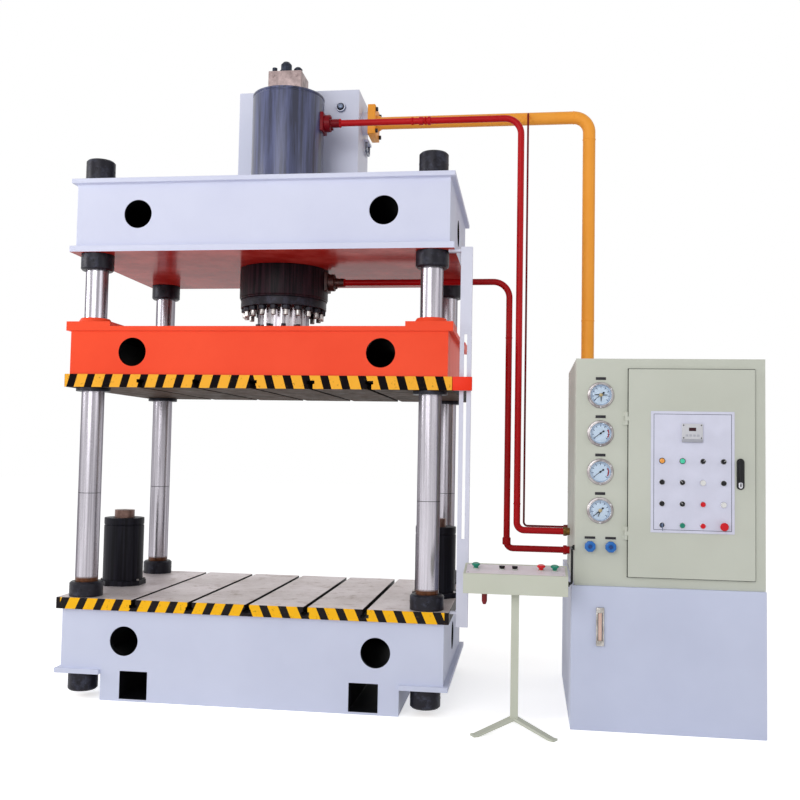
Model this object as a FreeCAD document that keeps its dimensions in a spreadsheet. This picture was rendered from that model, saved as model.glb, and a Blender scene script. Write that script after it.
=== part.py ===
"""Four-column hydraulic press with its power unit and push-button console.

Millimetres, +Z up. The origin lies on the floor under the ram's axis. The operator stands on the
-Y side, and the power unit stands on the +X side of the press.
"""
import FreeCAD, Part
import Sketcher
import os
import re

doc = FreeCAD.newDocument("hydraulic_press")

# ---------------------------------------------------------------------------------------------
# Driving dimensions
# ---------------------------------------------------------------------------------------------

SIZES = {
    # press frame
    "plate_width": 2100,
    "plate_depth": 1180,
    "plate_lip": 25,
    "web_thickness": 30,
    "rib_thickness": 25,
    "rib_offset": 360,
    "access_hole": 154,
    "access_hole_offset": 675,
    # bed
    "bed_height": 475,
    "bed_roof": 40,
    "bed_hole_height": 313,
    "foot_height": 137,
    "foot_nut_gap": 50,
    "corner_plate": 25,
    "pocket_width": 152,
    "pocket_height": 145,
    "pocket_floor": 12,
    "pocket_offset": 616,
    # table and platen
    "table_thickness": 60,
    "platen_thickness": 70,
    "slot_neck": 24,
    "slot_head": 42,
    "slot_head_height": 18,
    "slot_depth": 44,
    "slot_spacing": 310,
    "slot_count": 5,
    # columns and their nuts
    "column_diameter": 120,
    "column_inset_x": 122,
    "column_inset_y": 93,
    "sleeve_wall": 32,
    "nut_diameter": 176,
    "outer_nut_diameter": 156,
    "nut_edge": 6,
    "foot_nut_height": 99,
    "table_nut_height": 78,
    "crown_nut_height": 90,
    "top_nut_height": 118,
    # slide
    "daylight": 1125,
    "slide_height": 260,
    "slide_roof": 25,
    "slide_floor": 30,
    "slide_lip": 8,
    "slide_hole_height": 121,
    "pad_width": 248,
    "pad_height": 25,
    "cap_foot_diameter": 184,
    "cap_top_diameter": 154,
    "cap_height": 24,
    "bush_wall": 12,
    "bush_flange": 181,
    "bush_flange_height": 20,
    "guide_clearance": 0.1,
    "wiper_clearance": 0.3,
    # crown
    "crown_gap": 405,
    "crown_height": 405,
    "crown_roof": 25,
    "crown_floor": 35,
    "crown_hole_height": 210,
    # ram
    "cylinder_diameter": 424,
    "cylinder_rise": 635,
    "cylinder_cap": 80,
    "cylinder_bore": 340,
    "mouth_diameter": 516,
    "mouth_length": 185,
    "lock_nut_diameter": 560,
    "lock_nut_height": 90,
    "gland_diameter": 500,
    "gland_thickness": 50,
    "gland_stud_circle": 446,
    "gland_stud_count": 20,
    "gland_stud_diameter": 28,
    "gland_stud_drop": 56,
    "gland_nut_size": 48,
    "gland_nut_height": 24,
    "rod_diameter": 300,
    "rod_flange_diameter": 372,
    "rod_flange_thickness": 52,
    "rod_screw_count": 12,
    "rod_screw_circle": 336,
    "rod_screw_diameter": 28,
    "rod_screw_height": 20,
    "piston_height": 150,
    "piston_top_gap": 25,
    # filling valve
    "valve_width": 200,
    "valve_depth": 180,
    "valve_height": 135,
    "valve_offset": -5,
    "valve_neck_diameter": 120,
    "valve_neck_drop": 68,
    "dome_diameter": 76,
    "dome_height": 76,
    "dome_x": -10,
    "dome_y": -20,
    "small_dome_diameter": 60,
    "small_dome_height": 50,
    "small_dome_x": 57,
    "small_dome_y": 30,
    "plug_diameter": 30,
    "plug_height": 36,
    "plug_x": -75,
    "plug_y": -40,
    # filling tank
    "tank_width": 760,
    "tank_depth": 343,
    "tank_height": 770,
    "tank_gap": 28,
    "tank_wall": 6,
    "tank_plug_diameter": 58,
    "tank_plug_offset": 268,
    "tank_plug_drop": 110,
    "tank_plug_length": 20,
    "stub_diameter": 140,
    "stub_length": 43,
    "stub_centre": 160,
    "stub_drop": 160,
    "level_tube_diameter": 14,
    "level_tube_width": 96,
    "level_tube_offset": 54,
    "level_tube_drop": 62,
    "level_shelf_drop": 100,
    # pipes
    "suction_diameter": 76,
    "suction_wall": 4,
    "suction_bend": 95,
    "suction_flange": 186,
    "suction_flange_thickness": 48,
    "suction_bolt_spread": 136,
    "suction_bolt_diameter": 24,
    "suction_bolt_head": 14,
    "suction_inset": 115,
    "suction_seam_drop": 141,
    "suction_seam_spacing": 1116,
    "suction_seam_length": 8,
    "pressure_diameter": 38,
    "pressure_wall": 4,
    "pressure_bend": 95,
    "pressure_low_bend": 42,
    "pressure_rise": 475,
    "pressure_side": 294,
    "pressure_entry": 214,
    "return_diameter": 36,
    "return_wall": 3,
    "return_bend": 93,
    "return_low_bend": 36,
    "return_drop": 72,
    "return_side": 350,
    "return_entry": 111,
    "pilot_diameter": 12,
    "pilot_wall": 1.5,
    "pilot_bend": 22,
    "pilot_side": 256,
    "pilot_y": 290,
    "pilot_entry": 217,
    "pilot_boss_diameter": 26,
    "pilot_boss_length": 12,
    "union_diameter": 52,
    "union_length": 36,
    "port_flange_diameter": 100,
    "port_flange_thickness": 34,
    "port_boss_size": 112,
    "port_boss_depth": 12,
    "neck_diameter": 50,
    "neck_length": 56,
    "port_bolt_circle": 74,
    "port_bolt_diameter": 14,
    "port_bolt_head": 10,
    # stroke rail
    "rail_gap": 33,
    "rail_width": 60,
    "rail_depth": 28,
    "rail_wall": 5,
    "rail_inset": 34,
    "rail_overhang_low": 75,
    "rail_overhang_high": 12,
    "rail_slot_width": 15,
    "rail_slot_base": 370,
    "rail_slot_drop": 443,
    "rail_bracket_depth": 40,
    "rail_bracket_thickness": 12,
    "trip_arm_length": 100,
    "trip_arm_thickness": 28,
    "trip_arm_gap": 5,
    # buffers on the table
    "buffer_inset": 125,
    "buffer_y": -40,
    "buffer_diameter": 228,
    "buffer_height": 390,
    "buffer_base_width": 246,
    "buffer_base_height": 28,
    "buffer_groove_drop": 38,
    "buffer_groove_width": 6,
    "buffer_groove_depth": 5,
    "buffer_rod_diameter": 114,
    "buffer_rod_rise": 45,
    "buffer_rod_length": 160,
    "buffer_travel": 32,
    # power unit: oil tank below, cabinet above
    "unit_lip_left": 17,
    "unit_width": 925,
    "unit_lip_front": 20,
    "unit_depth": 1150,
    "unit_height": 700,
    "unit_wall": 6,
    "oil_level_offset": 123,
    "oil_level_width": 38,
    "oil_level_height": 186,
    "oil_level_drop": 102,
    "oil_level_thickness": 16,
    "cabinet_left": 1672,
    "cabinet_width": 908,
    "cabinet_front": 596,
    "cabinet_depth": 900,
    "cabinet_height": 1125,
    "cabinet_wall": 4,
    "partition": 4,
    "door_width": 600,
    "door_height": 1022,
    "door_margin": 52,
    "door_base": 50,
    "door_thickness": 16,
    "door_sheet": 3,
    "door_gap": 0.5,
    "bay_depth": 320,
    "bay_margin": 22,
    "hinge_diameter": 16,
    "hinge_pin_diameter": 8,
    "hinge_pin_clearance": 0.05,
    "hinge_length": 64,
    "hinge_gap": 0.6,
    "hinge_upper_height": 745,
    "hinge_lower_height": 180,
    "hinge_reach": 9,
    # switchgear in the cabinet
    "gear_plate_thickness": 3,
    "gear_plate_margin": 40,
    "gear_plate_stand_off": 12,
    "rail_block_width": 50,
    "rail_block_height": 90,
    "rail_block_depth": 80,
    "rail_block_spacing": 62,
    "rail_block_count": 7,
    "rail_block_rows": 4,
    "rail_block_row_spacing": 210,
    # motor and pump behind the switchgear
    "pump_flange_diameter": 300,
    "pump_flange_thickness": 24,
    "pump_lantern_diameter": 210,
    "pump_lantern_height": 180,
    "motor_diameter": 280,
    "motor_height": 420,
    "motor_cowl_diameter": 290,
    "motor_cowl_height": 90,
    # control panel on the door
    "panel_width": 396,
    "panel_height": 594,
    "panel_thickness": 4,
    "panel_left": 107,
    "panel_base": 221,
    "key_column": 53,
    "key_column_spacing": 97,
    "key_row": 37,
    "key_row_spacing": 104.5,
    "bezel_diameter": 30,
    "bezel_bore": 25,
    "bezel_height": 5,
    "button_diameter": 24.4,
    "button_height": 11,
    "button_travel": 4,
    "selector_bar_width": 8,
    "selector_bar_height": 12,
    "key_blade_width": 3,
    "key_blade_height": 34,
    "key_blade_length": 20,
    "stop_diameter": 40,
    "stop_cap_height": 14,
    "stop_stem_height": 12,
    "stop_travel": 5,
    "lamp_diameter": 24.4,
    "lamp_height": 14,
    "lamp_dome_height": 4,
    "counter_width": 100,
    "counter_height": 91,
    "counter_thickness": 12,
    "counter_left": 146,
    "counter_base": 443,
    "counter_lip": 14,
    # door handle
    "handle_x": 531,
    "handle_base": 438,
    "handle_plate_width": 35,
    "handle_plate_height": 150,
    "handle_pivot_drop": 17.5,
    "handle_plate_thickness": 6,
    "lever_width": 24,
    "lever_length": 108,
    "lever_thickness": 14,
    "lever_gap": 0.4,
    # gauges and valve knobs on the cabinet
    "gauge_column": 121,
    "gauge_top": 942,
    "gauge_spacing": 190.6,
    "gauge_flange": 130,
    "gauge_flange_thickness": 8,
    "gauge_ring": 108,
    "gauge_glass": 98,
    "gauge_height": 24,
    "gauge_dial_drop": 12,
    "gauge_glass_thickness": 3,
    "gauge_glass_seat": 2,
    "gauge_hub": 12,
    "needle_length": 52,
    "needle_width": 4,
    "needle_thickness": 2,
    "knob_x": 73,
    "knob_spacing": 100,
    "knob_height": 193,
    "knob_diameter": 55,
    "knob_thickness": 24,
    "knob_stem_diameter": 18,
    "knob_stem_length": 16,
    "knob_turn_gap": 0.4,
    # operator's console
    "console_gap": 39,
    "console_y": -710,
    "console_width": 500,
    "console_depth": 160,
    "console_front_low": 667,
    "console_front_high": 762,
    "console_back_high": 795,
    "console_wall": 3,
    "console_cheek": 8,
    "console_recess": 2,
    "console_button_diameter": 40,
    "console_cap_height": 16,
    "console_stem_height": 5,
    "console_bar_length": 28,
    "console_bar_height": 8,
    "console_travel": 6,
    "console_collar_diameter": 29,
    "console_collar_bore": 22.6,
    "console_collar_height": 5,
    "console_plug_diameter": 25,
    "console_plug_length": 60,
    "console_plug_x": -150,
    "post_width": 38,
    "post_lift": 60,
    "post_wall": 3,
    "leg_length": 226,
    "leg_width": 40,
    "leg_thickness": 10,
    "leg_count": 3,
    "foot_pad": 12,
    "conduit_diameter": 12,
    "conduit_wall": 1.5,
    "conduit_bend": 16,
    "conduit_reach": 20,
    "conduit_lift": 50,
    "conduit_entry": 180,
    "conduit_inset": 36,
    "conduit_gland_diameter": 26,
    "conduit_gland_length": 4,
}

# Sizes and places that follow from those above, as formulas in the same sheet.
FORMULAS = {
    "table_top": "bed_height + table_thickness",
    "platen_low": "table_top + daylight",
    "slide_low": "platen_low + platen_thickness",
    "slide_top": "slide_low + slide_height",
    "crown_low": "slide_top + crown_gap",
    "crown_top": "crown_low + crown_height",
    "column_spacing_x": "plate_width - 2 * column_inset_x",
    "column_spacing_y": "plate_depth - 2 * column_inset_y",
    "foot_width": "column_spacing_x - outer_nut_diameter - 2 * foot_nut_gap",
    "tank_front": "cylinder_diameter / 2 + tank_gap",
    "suction_x": "cabinet_left + suction_inset",
    "pressure_x": "cabinet_left - pressure_side",
    "pressure_low": "unit_height + pressure_entry",
    "return_x": "cabinet_left - return_side",
    "return_low": "unit_height + return_entry",
    "pilot_x": "cabinet_left - pilot_side",
    "pilot_low": "unit_height + pilot_entry",
    "rail_front": "plate_depth / 2 - rail_inset",
    "rail_low": "table_top - rail_overhang_low",
    "rail_high": "crown_low + rail_overhang_high",
    "rail_slot_low": "table_top + rail_slot_base",
    "rail_slot_high": "crown_low - rail_slot_drop",
    "buffer_x": "plate_width / 2 - buffer_inset",
    "unit_left": "cabinet_left - unit_lip_left",
    "unit_front": "cabinet_front + unit_lip_front",
    "console_x": "cabinet_left - console_gap - console_width / 2",
    "conduit_low": "console_front_low + conduit_lift",
    "conduit_high": "unit_height + conduit_entry",
    "conduit_y": "conduit_inset - cabinet_front",
}
ALIASES = {**SIZES, **{alias: "=" + formula for alias, formula in FORMULAS.items()}}

sheet = doc.addObject("Spreadsheet::Sheet", "Sizes")
for row, (alias, size) in enumerate(ALIASES.items(), start=1):
    sheet.set("A%d" % row, alias)
    sheet.set("B%d" % row, str(size))
    sheet.setAlias("B%d" % row, alias)
doc.recompute()

# Heights and places that follow from the driving dimensions. Each is an expression in brackets.
HALF_X = "(column_spacing_x / 2)"
HALF_Y = "(column_spacing_y / 2)"
TABLE_TOP, PLATEN_LOW, SLIDE_LOW, SLIDE_TOP = "table_top", "platen_low", "slide_low", "slide_top"
CROWN_LOW, CROWN_TOP = "crown_low", "crown_top"
WEB_X = "(plate_width / 2 - plate_lip)"
WEB_Y = "(plate_depth / 2 - plate_lip)"
SLIDE_WEB_Y = "(plate_depth / 2 - slide_lip)"
PLATE_X = "(plate_width / 2)"
PLATE_Y = "(plate_depth / 2)"
SLEEVE = "(column_diameter / 2 + sleeve_wall)"
COLUMNS = {
    "front_left": ("-" + HALF_X, "-" + HALF_Y),
    "front_right": (HALF_X, "-" + HALF_Y),
    "rear_left": ("-" + HALF_X, HALF_Y),
    "rear_right": (HALF_X, HALF_Y),
}
X_AXIS = FreeCAD.Vector(1, 0, 0)
Y_AXIS = FreeCAD.Vector(0, 1, 0)
Z_AXIS = FreeCAD.Vector(0, 0, 1)
AXES = {"X": X_AXIS, "Y": Y_AXIS, "Z": Z_AXIS}

# ---------------------------------------------------------------------------------------------
# Building blocks
# ---------------------------------------------------------------------------------------------


def bound(text):
    """The text with every driving dimension's name pointed at the sheet."""
    return re.sub(r"[a-z][a-z_]*", lambda word: "Sizes." + word[0] if word[0] in ALIASES else word[0], str(text))


def value(text):
    """The number that an expression has now."""
    return float(sheet.evalExpression(bound(text)))


def bind(item, prop, text):
    item.setExpression(prop, bound(text))


def place(item, at, turn=None):
    """Put an item at three expressions, turned by a fixed rotation."""
    item.Placement = FreeCAD.Placement(FreeCAD.Vector(), turn or FreeCAD.Rotation())
    for axis, text in zip("xyz", at):
        bind(item, "Placement.Base." + axis, text)
    return item


def towards(direction):
    """The rotation that turns +Z to the given direction."""
    return FreeCAD.Rotation(Z_AXIS, direction)


def box(name, low, high):
    """A block between two corners."""
    item = doc.addObject("Part::Box", name)
    for prop, start, end in zip(("Length", "Width", "Height"), low, high):
        bind(item, prop, "(%s) - (%s)" % (end, start))
    return place(item, low)


def cylinder(name, diameter, length, at, direction=Z_AXIS):
    item = doc.addObject("Part::Cylinder", name)
    bind(item, "Radius", "(%s) / 2" % diameter)
    bind(item, "Height", length)
    return place(item, at, towards(direction))


def cone(name, foot, top, length, at, direction=Z_AXIS):
    item = doc.addObject("Part::Cone", name)
    bind(item, "Radius1", "(%s) / 2" % foot)
    bind(item, "Radius2", "(%s) / 2" % top)
    bind(item, "Height", length)
    return place(item, at, towards(direction))


def fuse(name, items):
    if len(items) == 1:
        return items[0]
    item = doc.addObject("Part::MultiFuse", name)
    item.Shapes = items
    item.Refine = True
    return item


def cut(name, base, tools):
    item = doc.addObject("Part::Cut", name)
    item.Base = base
    item.Tool = fuse(name + "_tools", tools)
    return item


def group(name, items):
    """Separate solids that share a node."""
    item = doc.addObject("Part::Compound", name)
    item.Links = items
    return item


def origin_plane(body, role):
    return next(part for part in body.Origin.OriginFeatures if part.Role == role)


def outline(body, name, role, corners):
    """A closed outline of straight runs on one of the body's planes, each corner at two expressions."""
    sketch = body.newObject("Sketcher::SketchObject", name)
    sketch.AttachmentSupport = [(origin_plane(body, role), "")]
    sketch.MapMode = "FlatFace"
    points = [FreeCAD.Vector(value(across), value(up), 0) for across, up in corners]
    for start, end in zip(points, points[1:] + points[:1]):
        sketch.addGeometry(Part.LineSegment(start, end))
    for run in range(len(points)):
        sketch.addConstraint(Sketcher.Constraint("Coincident", run, 2, (run + 1) % len(points), 1))
    for run, (across, up) in enumerate(corners):
        for kind, text in (("DistanceX", across), ("DistanceY", up)):
            index = sketch.addConstraint(Sketcher.Constraint(kind, -1, 1, run, 1, value(text)))
            bind(sketch, "Constraints[%d]" % index, text)
    return sketch


def body_at(name, at, turn=None):
    return place(doc.addObject("PartDesign::Body", name), at, turn)


def turned(name, at, corners, turn=None):
    """A body turned on a lathe: (radius, height) corners swept round its own Z axis."""
    body = body_at(name, at, turn)
    sketch = outline(body, name + "_profile", "XZ_Plane", corners)
    spin = body.newObject("PartDesign::Revolution", name + "_turning")
    spin.Profile = sketch
    spin.ReferenceAxis = (sketch, ["V_Axis"])
    spin.Angle = 360
    body.Tip = spin
    return body


def extruded(name, at, role, corners, length, turn=None, centred=True):
    """A body with a straight-sided outline, drawn out to a length."""
    body = body_at(name, at, turn)
    sketch = outline(body, name + "_profile", role, corners)
    pad = body.newObject("PartDesign::Pad", name + "_pad")
    pad.Profile = sketch
    bind(pad, "Length", length)
    pad.Midplane = centred
    body.Tip = pad
    return body


def pocketed(body, name, role, corners):
    """Cut an outline right through the body."""
    sketch = outline(body, name + "_profile", role, corners)
    pocket = body.newObject("PartDesign::Pocket", name)
    pocket.Profile = sketch
    pocket.Type = "ThroughAll"
    pocket.Midplane = True
    body.Tip = pocket
    return pocket


def pipe(name, diameter, wall, corners, bends, open_ends=True):
    """A pipe along axis-parallel runs, with a quarter bend of its own radius at each inner corner."""

    def run_between(label, size, first, last, trim_first, trim_last, direction):
        reach = "(%s) - (%s) - (%s)" % (
            "abs((%s) - (%s))" % (last[direction[0]], first[direction[0]]), trim_first, trim_last)
        start = list(first)
        start[direction[0]] = "(%s) + (%d) * (%s)" % (first[direction[0]], direction[1], trim_first)
        vector = FreeCAD.Vector(*[direction[1] if axis == direction[0] else 0 for axis in range(3)])
        return cylinder(label, size, reach, start, vector)

    def heading(first, last):
        gaps = [value(b) - value(a) for a, b in zip(first, last)]
        axis = max(range(3), key=lambda n: abs(gaps[n]))
        return axis, (1 if gaps[axis] > 0 else -1)

    def quarter(label, size, corner, radius, before, after):
        ring = doc.addObject("Part::Torus", label)
        bind(ring, "Radius1", radius)
        bind(ring, "Radius2", "(%s) / 2" % size)
        ring.Angle3 = 90
        middle = list(corner)
        middle[before[0]] = "(%s) - (%d) * (%s)" % (corner[before[0]], before[1], radius)
        middle[after[0]] = "(%s) + (%d) * (%s)" % (corner[after[0]], after[1], radius)
        out = FreeCAD.Vector(*[-after[1] if axis == after[0] else 0 for axis in range(3)])
        along = FreeCAD.Vector(*[before[1] if axis == before[0] else 0 for axis in range(3)])
        return place(ring, middle, FreeCAD.Rotation(out, along, out.cross(along), "XYZ"))

    def solid(label, size):
        headings = [heading(a, b) for a, b in zip(corners, corners[1:])]
        trims = ["0"] + list(bends) + ["0"]
        pieces = []
        for n, direction in enumerate(headings):
            pieces.append(run_between("%s_run_%d" % (label, n), size, corners[n], corners[n + 1],
                                      trims[n], trims[n + 1], direction))
        for n, radius in enumerate(bends):
            pieces.append(quarter("%s_bend_%d" % (label, n), size, corners[n + 1], radius,
                                  headings[n], headings[n + 1]))
        return fuse(label, pieces)

    if not open_ends:
        return solid(name, diameter)
    outside = solid(name + "_outside", diameter)
    inside = solid(name + "_bore", "(%s) - 2 * (%s)" % (diameter, wall))
    return cut(name, outside, [inside])


NODES = []


def node(item, label):
    """Name a finished sub-part, which is then written out."""
    item.Label = label
    NODES.append(item)
    return item


# ---------------------------------------------------------------------------------------------
# Press frame
# ---------------------------------------------------------------------------------------------


def column_cylinders(name, diameter, low, high):
    return [cylinder("%s_%s" % (name, corner), diameter, "(%s) - (%s)" % (high, low), (x, y, low))
            for corner, (x, y) in COLUMNS.items()]


def access_holes(name, height, side_holes=True):
    """Round holes through the front and rear webs, and through the two side webs."""
    reach = "plate_depth + 2 * plate_lip"
    holes = [cylinder("%s_%s" % (name, side), "access_hole", reach,
                      ("%s access_hole_offset" % sign, "-(%s) / 2" % reach, height), Y_AXIS)
             for side, sign in (("left", "-"), ("right", "1 *"))]
    if side_holes:
        width = "plate_width + 2 * plate_lip"
        holes.append(cylinder(name + "_side", "access_hole", width, ("-(%s) / 2" % width, "0", height), X_AXIS))
    return holes


def ribbed_cavity(name, low, high, web_y, column_tubes, extra_solid=()):
    """The hollow of a welded box: the space inside its webs, less the column tubes and cross ribs."""
    inner_x = "(%s - web_thickness)" % WEB_X
    inner_y = "(%s - web_thickness)" % web_y
    space = box(name + "_space", ("-" + inner_x, "-" + inner_y, low), (inner_x, inner_y, high))
    ribs = [box("%s_rib_%s" % (name, side),
                ("%s rib_offset - rib_thickness / 2" % sign, "-" + inner_y, low),
                ("%s rib_offset + rib_thickness / 2" % sign, inner_y, high))
            for side, sign in (("left", "-"), ("right", "1 *"))]
    tubes = column_cylinders(name + "_tube", "2 * " + SLEEVE, low, high) if column_tubes else []
    return cut(name, space, ribs + tubes + list(extra_solid))


def make_bed():
    upper = box("bed_box", ("-" + WEB_X, "-" + WEB_Y, "foot_height"), (WEB_X, WEB_Y, "bed_height"))
    corner = box("bed_corner_plate", ("-" + PLATE_X, "-" + PLATE_Y, "foot_height"),
                 (PLATE_X, PLATE_Y, "foot_height + corner_plate"))
    recesses = [box("bed_lip_recess_" + side, ("-foot_width / 2", start, "foot_height"),
                    ("foot_width / 2", end, "foot_height + corner_plate"))
                for side, start, end in (("front", "-" + PLATE_Y, "-" + WEB_Y), ("rear", WEB_Y, PLATE_Y))]
    lips = cut("bed_lips", corner, recesses)
    foot = box("bed_foot", ("-foot_width / 2", "-" + WEB_Y, "0"), ("foot_width / 2", WEB_Y, "foot_height"))
    outside = fuse("bed_outside", [upper, lips, foot])
    hollow = ribbed_cavity("bed_hollow", "foot_height + corner_plate", "bed_height - bed_roof", WEB_Y, True)
    pockets = [box("bed_pocket_" + side,
                   ("%s pocket_offset - pocket_width / 2" % sign, "-" + PLATE_Y, "pocket_floor"),
                   ("%s pocket_offset + pocket_width / 2" % sign, PLATE_Y, "pocket_floor + pocket_height"))
               for side, sign in (("left", "-"), ("right", "1 *"))]
    half_foot = "(pocket_offset - pocket_width / 2 - web_thickness)"
    foot_hollow = box("bed_foot_hollow", ("-" + half_foot, "-%s + web_thickness" % WEB_Y, "pocket_floor"),
                      (half_foot, "%s - web_thickness" % WEB_Y, "foot_height"))
    bores = column_cylinders("bed_bore", "column_diameter", "0", "bed_height + plate_lip")
    tools = [hollow, foot_hollow] + pockets + access_holes("bed_hole", "bed_hole_height") + bores
    node(cut("bed_solid", outside, tools), "bed")


def slotted_plate(name, at, thickness, bores, slots_up):
    """A thick plate with T-slots from front to back and a bore for each column."""
    body = extruded(name, at, "XY_Plane",
                    (("-" + PLATE_X, "-" + PLATE_Y), (PLATE_X, "-" + PLATE_Y), (PLATE_X, PLATE_Y),
                     ("-" + PLATE_X, PLATE_Y)), thickness, centred=False)
    first = "(-slot_spacing * (slot_count - 1) / 2)"
    if slots_up:
        mouth, deep, neck_end = thickness, "%s - slot_depth" % thickness, "%s - slot_depth + slot_head_height" % thickness
    else:
        mouth, deep, neck_end = "0", "slot_depth", "slot_depth - slot_head_height"
    neck, head = "slot_neck / 2", "slot_head / 2"
    corners = ((first + " - " + neck, mouth), (first + " - " + neck, neck_end), (first + " - " + head, neck_end),
               (first + " - " + head, deep), (first + " + " + head, deep), (first + " + " + head, neck_end),
               (first + " + " + neck, neck_end), (first + " + " + neck, mouth))
    slot = pocketed(body, name + "_slot", "XZ_Plane", corners)
    doc.recompute()
    row = body.newObject("PartDesign::LinearPattern", name + "_slots")
    row.Originals = [slot]
    row.Direction = (origin_plane(body, "X_Axis"), [""])
    bind(row, "Length", "slot_spacing * (slot_count - 1)")
    bind(row, "Occurrences", "slot_count")
    body.Tip = row
    return cut(name + "_bored", body, bores)


def make_table():
    bores = column_cylinders("table_bore", "column_diameter", "bed_height - plate_lip", TABLE_TOP)
    node(slotted_plate("table", ("0", "0", "bed_height"), "table_thickness", bores, True), "table_plate")


def make_columns():
    items = column_cylinders("column", "column_diameter", "foot_height - foot_nut_height", CROWN_TOP + " + top_nut_height")
    node(group("columns_group", items), "columns")


def column_nut(name, x, y, diameter, low, height):
    """A round nut with broken edges, bored for its column."""
    bore, rim = "column_diameter / 2", diameter + " / 2"
    return turned(name, (x, y, low),
                  ((bore, "0"), (rim, "0"), (rim, "%s - nut_edge" % height), (rim + " - nut_edge", height),
                   (bore, height)))


def column_nut_down(name, x, y, diameter, top, height):
    """The same nut the other way up, hanging below a plate."""
    bore, rim = "column_diameter / 2", diameter + " / 2"
    return turned(name, (x, y, "%s - %s" % (top, height)),
                  ((bore, "0"), (rim + " - nut_edge", "0"), (rim, "nut_edge"), (rim, height), (bore, height)))


def make_column_nuts():
    nuts = []
    for corner, (x, y) in COLUMNS.items():
        outer, inner = "outer_nut_diameter", "nut_diameter"
        nuts.append(column_nut_down("foot_nut_" + corner, x, y, outer, "foot_height", "foot_nut_height"))
        nuts.append(column_nut("table_nut_" + corner, x, y, inner, TABLE_TOP, "table_nut_height"))
        nuts.append(column_nut_down("crown_nut_" + corner, x, y, inner, CROWN_LOW, "crown_nut_height"))
        nuts.append(column_nut("top_nut_" + corner, x, y, outer, CROWN_TOP, "top_nut_height"))
    node(group("column_nuts_group", nuts), "column_nuts")


def make_crown():
    webs = box("crown_box", ("-" + WEB_X, "-" + WEB_Y, CROWN_LOW), (WEB_X, WEB_Y, CROWN_TOP))
    floor = box("crown_floor_plate", ("-" + PLATE_X, "-" + PLATE_Y, CROWN_LOW),
                (PLATE_X, PLATE_Y, CROWN_LOW + " + crown_floor"))
    roof = box("crown_roof_plate", ("-" + PLATE_X, "-" + PLATE_Y, CROWN_TOP + " - crown_roof"),
               (PLATE_X, PLATE_Y, CROWN_TOP))
    hollow = ribbed_cavity("crown_hollow", CROWN_LOW + " + crown_floor", CROWN_TOP + " - crown_roof", WEB_Y, True)
    bores = column_cylinders("crown_bore", "column_diameter", CROWN_LOW + " - plate_lip", CROWN_TOP + " + plate_lip")
    bores.append(cylinder("crown_ram_bore", "cylinder_diameter", "crown_height + 2 * plate_lip",
                          ("0", "0", CROWN_LOW + " - plate_lip")))
    outside = fuse("crown_outside", [webs, floor, roof])
    tools = [hollow] + access_holes("crown_hole", CROWN_LOW + " + crown_hole_height") + bores
    node(cut("crown_solid", outside, tools), "crown")


# ---------------------------------------------------------------------------------------------
# Ram: cylinder, gland, filling valve and tank
# ---------------------------------------------------------------------------------------------

PORT_FACE = "(%s / 2 + port_boss_depth)"
PRESSURE_HEIGHT = "(%s + pressure_rise)" % CROWN_TOP
RETURN_HEIGHT = "(%s - return_drop)" % CROWN_LOW


def port_boss(name, barrel, height):
    """A flat welded pad on a round barrel for a port flange."""
    return box(name, ("%s / 2 - port_boss_size / 4" % barrel, "-port_boss_size / 2", "%s - port_boss_size / 2" % height),
               (PORT_FACE % barrel, "port_boss_size / 2", "%s + port_boss_size / 2" % height))


def make_cylinder():
    """The barrel hangs through the crown and bears on it from below with its wide mouth."""
    outer, mouth, bore = "cylinder_diameter / 2", "mouth_diameter / 2", "cylinder_bore / 2"
    barrel_length = "mouth_length + crown_height + cylinder_rise"
    barrel = turned("cylinder_barrel", ("0", "0", CROWN_LOW + " - mouth_length"),
                    ((bore, "0"), (mouth, "0"), (mouth, "mouth_length"), (outer, "mouth_length"),
                     (outer, barrel_length), ("0", barrel_length), ("0", barrel_length + " - cylinder_cap"),
                     (bore, barrel_length + " - cylinder_cap")))
    bosses = [port_boss("pressure_boss", "cylinder_diameter", PRESSURE_HEIGHT),
              port_boss("return_boss", "mouth_diameter", RETURN_HEIGHT)]
    blank = fuse("cylinder_with_bosses", [barrel] + bosses)
    bore_tool = cylinder("cylinder_bore_tool", "cylinder_bore", barrel_length + " - cylinder_cap",
                         ("0", "0", CROWN_LOW + " - mouth_length"))
    node(cut("cylinder_solid", blank, [bore_tool]), "main_cylinder")


def make_lock_nut():
    """The ring nut inside the crown that draws the cylinder's mouth up against the crown."""
    bore, rim = "cylinder_diameter / 2", "lock_nut_diameter / 2"
    node(turned("lock_nut", ("0", "0", CROWN_LOW + " + crown_floor"),
                ((bore, "0"), (rim, "0"), (rim, "lock_nut_height"), (bore, "lock_nut_height"))),
         "cylinder_lock_nut")


def make_gland():
    bore, rim = "rod_diameter / 2 + guide_clearance", "gland_diameter / 2"
    low = "%s - mouth_length - gland_thickness" % CROWN_LOW
    node(turned("gland", ("0", "0", low),
                ((bore, "0"), (rim, "0"), (rim, "gland_thickness"), (bore, "gland_thickness"))), "gland_flange")
    studs = []
    for n in range(SIZES["gland_stud_count"]):
        turn = "(%d * 360 / gland_stud_count)" % n
        at_x = "gland_stud_circle / 2 * cos(%s)" % turn
        at_y = "gland_stud_circle / 2 * sin(%s)" % turn
        shank = cylinder("gland_shank_%d" % n, "gland_stud_diameter", "gland_stud_drop",
                         (at_x, at_y, low + " - gland_stud_drop"))
        nut = doc.addObject("Part::Prism", "gland_nut_%d" % n)
        nut.Polygon = 6
        bind(nut, "Circumradius", "gland_nut_size / 2")
        bind(nut, "Height", "gland_nut_height")
        place(nut, (at_x, at_y, low + " - gland_nut_height"))
        studs.append(fuse("gland_stud_%d" % n, [shank, nut]))
    node(group("gland_studs_group", studs), "gland_studs")


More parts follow.
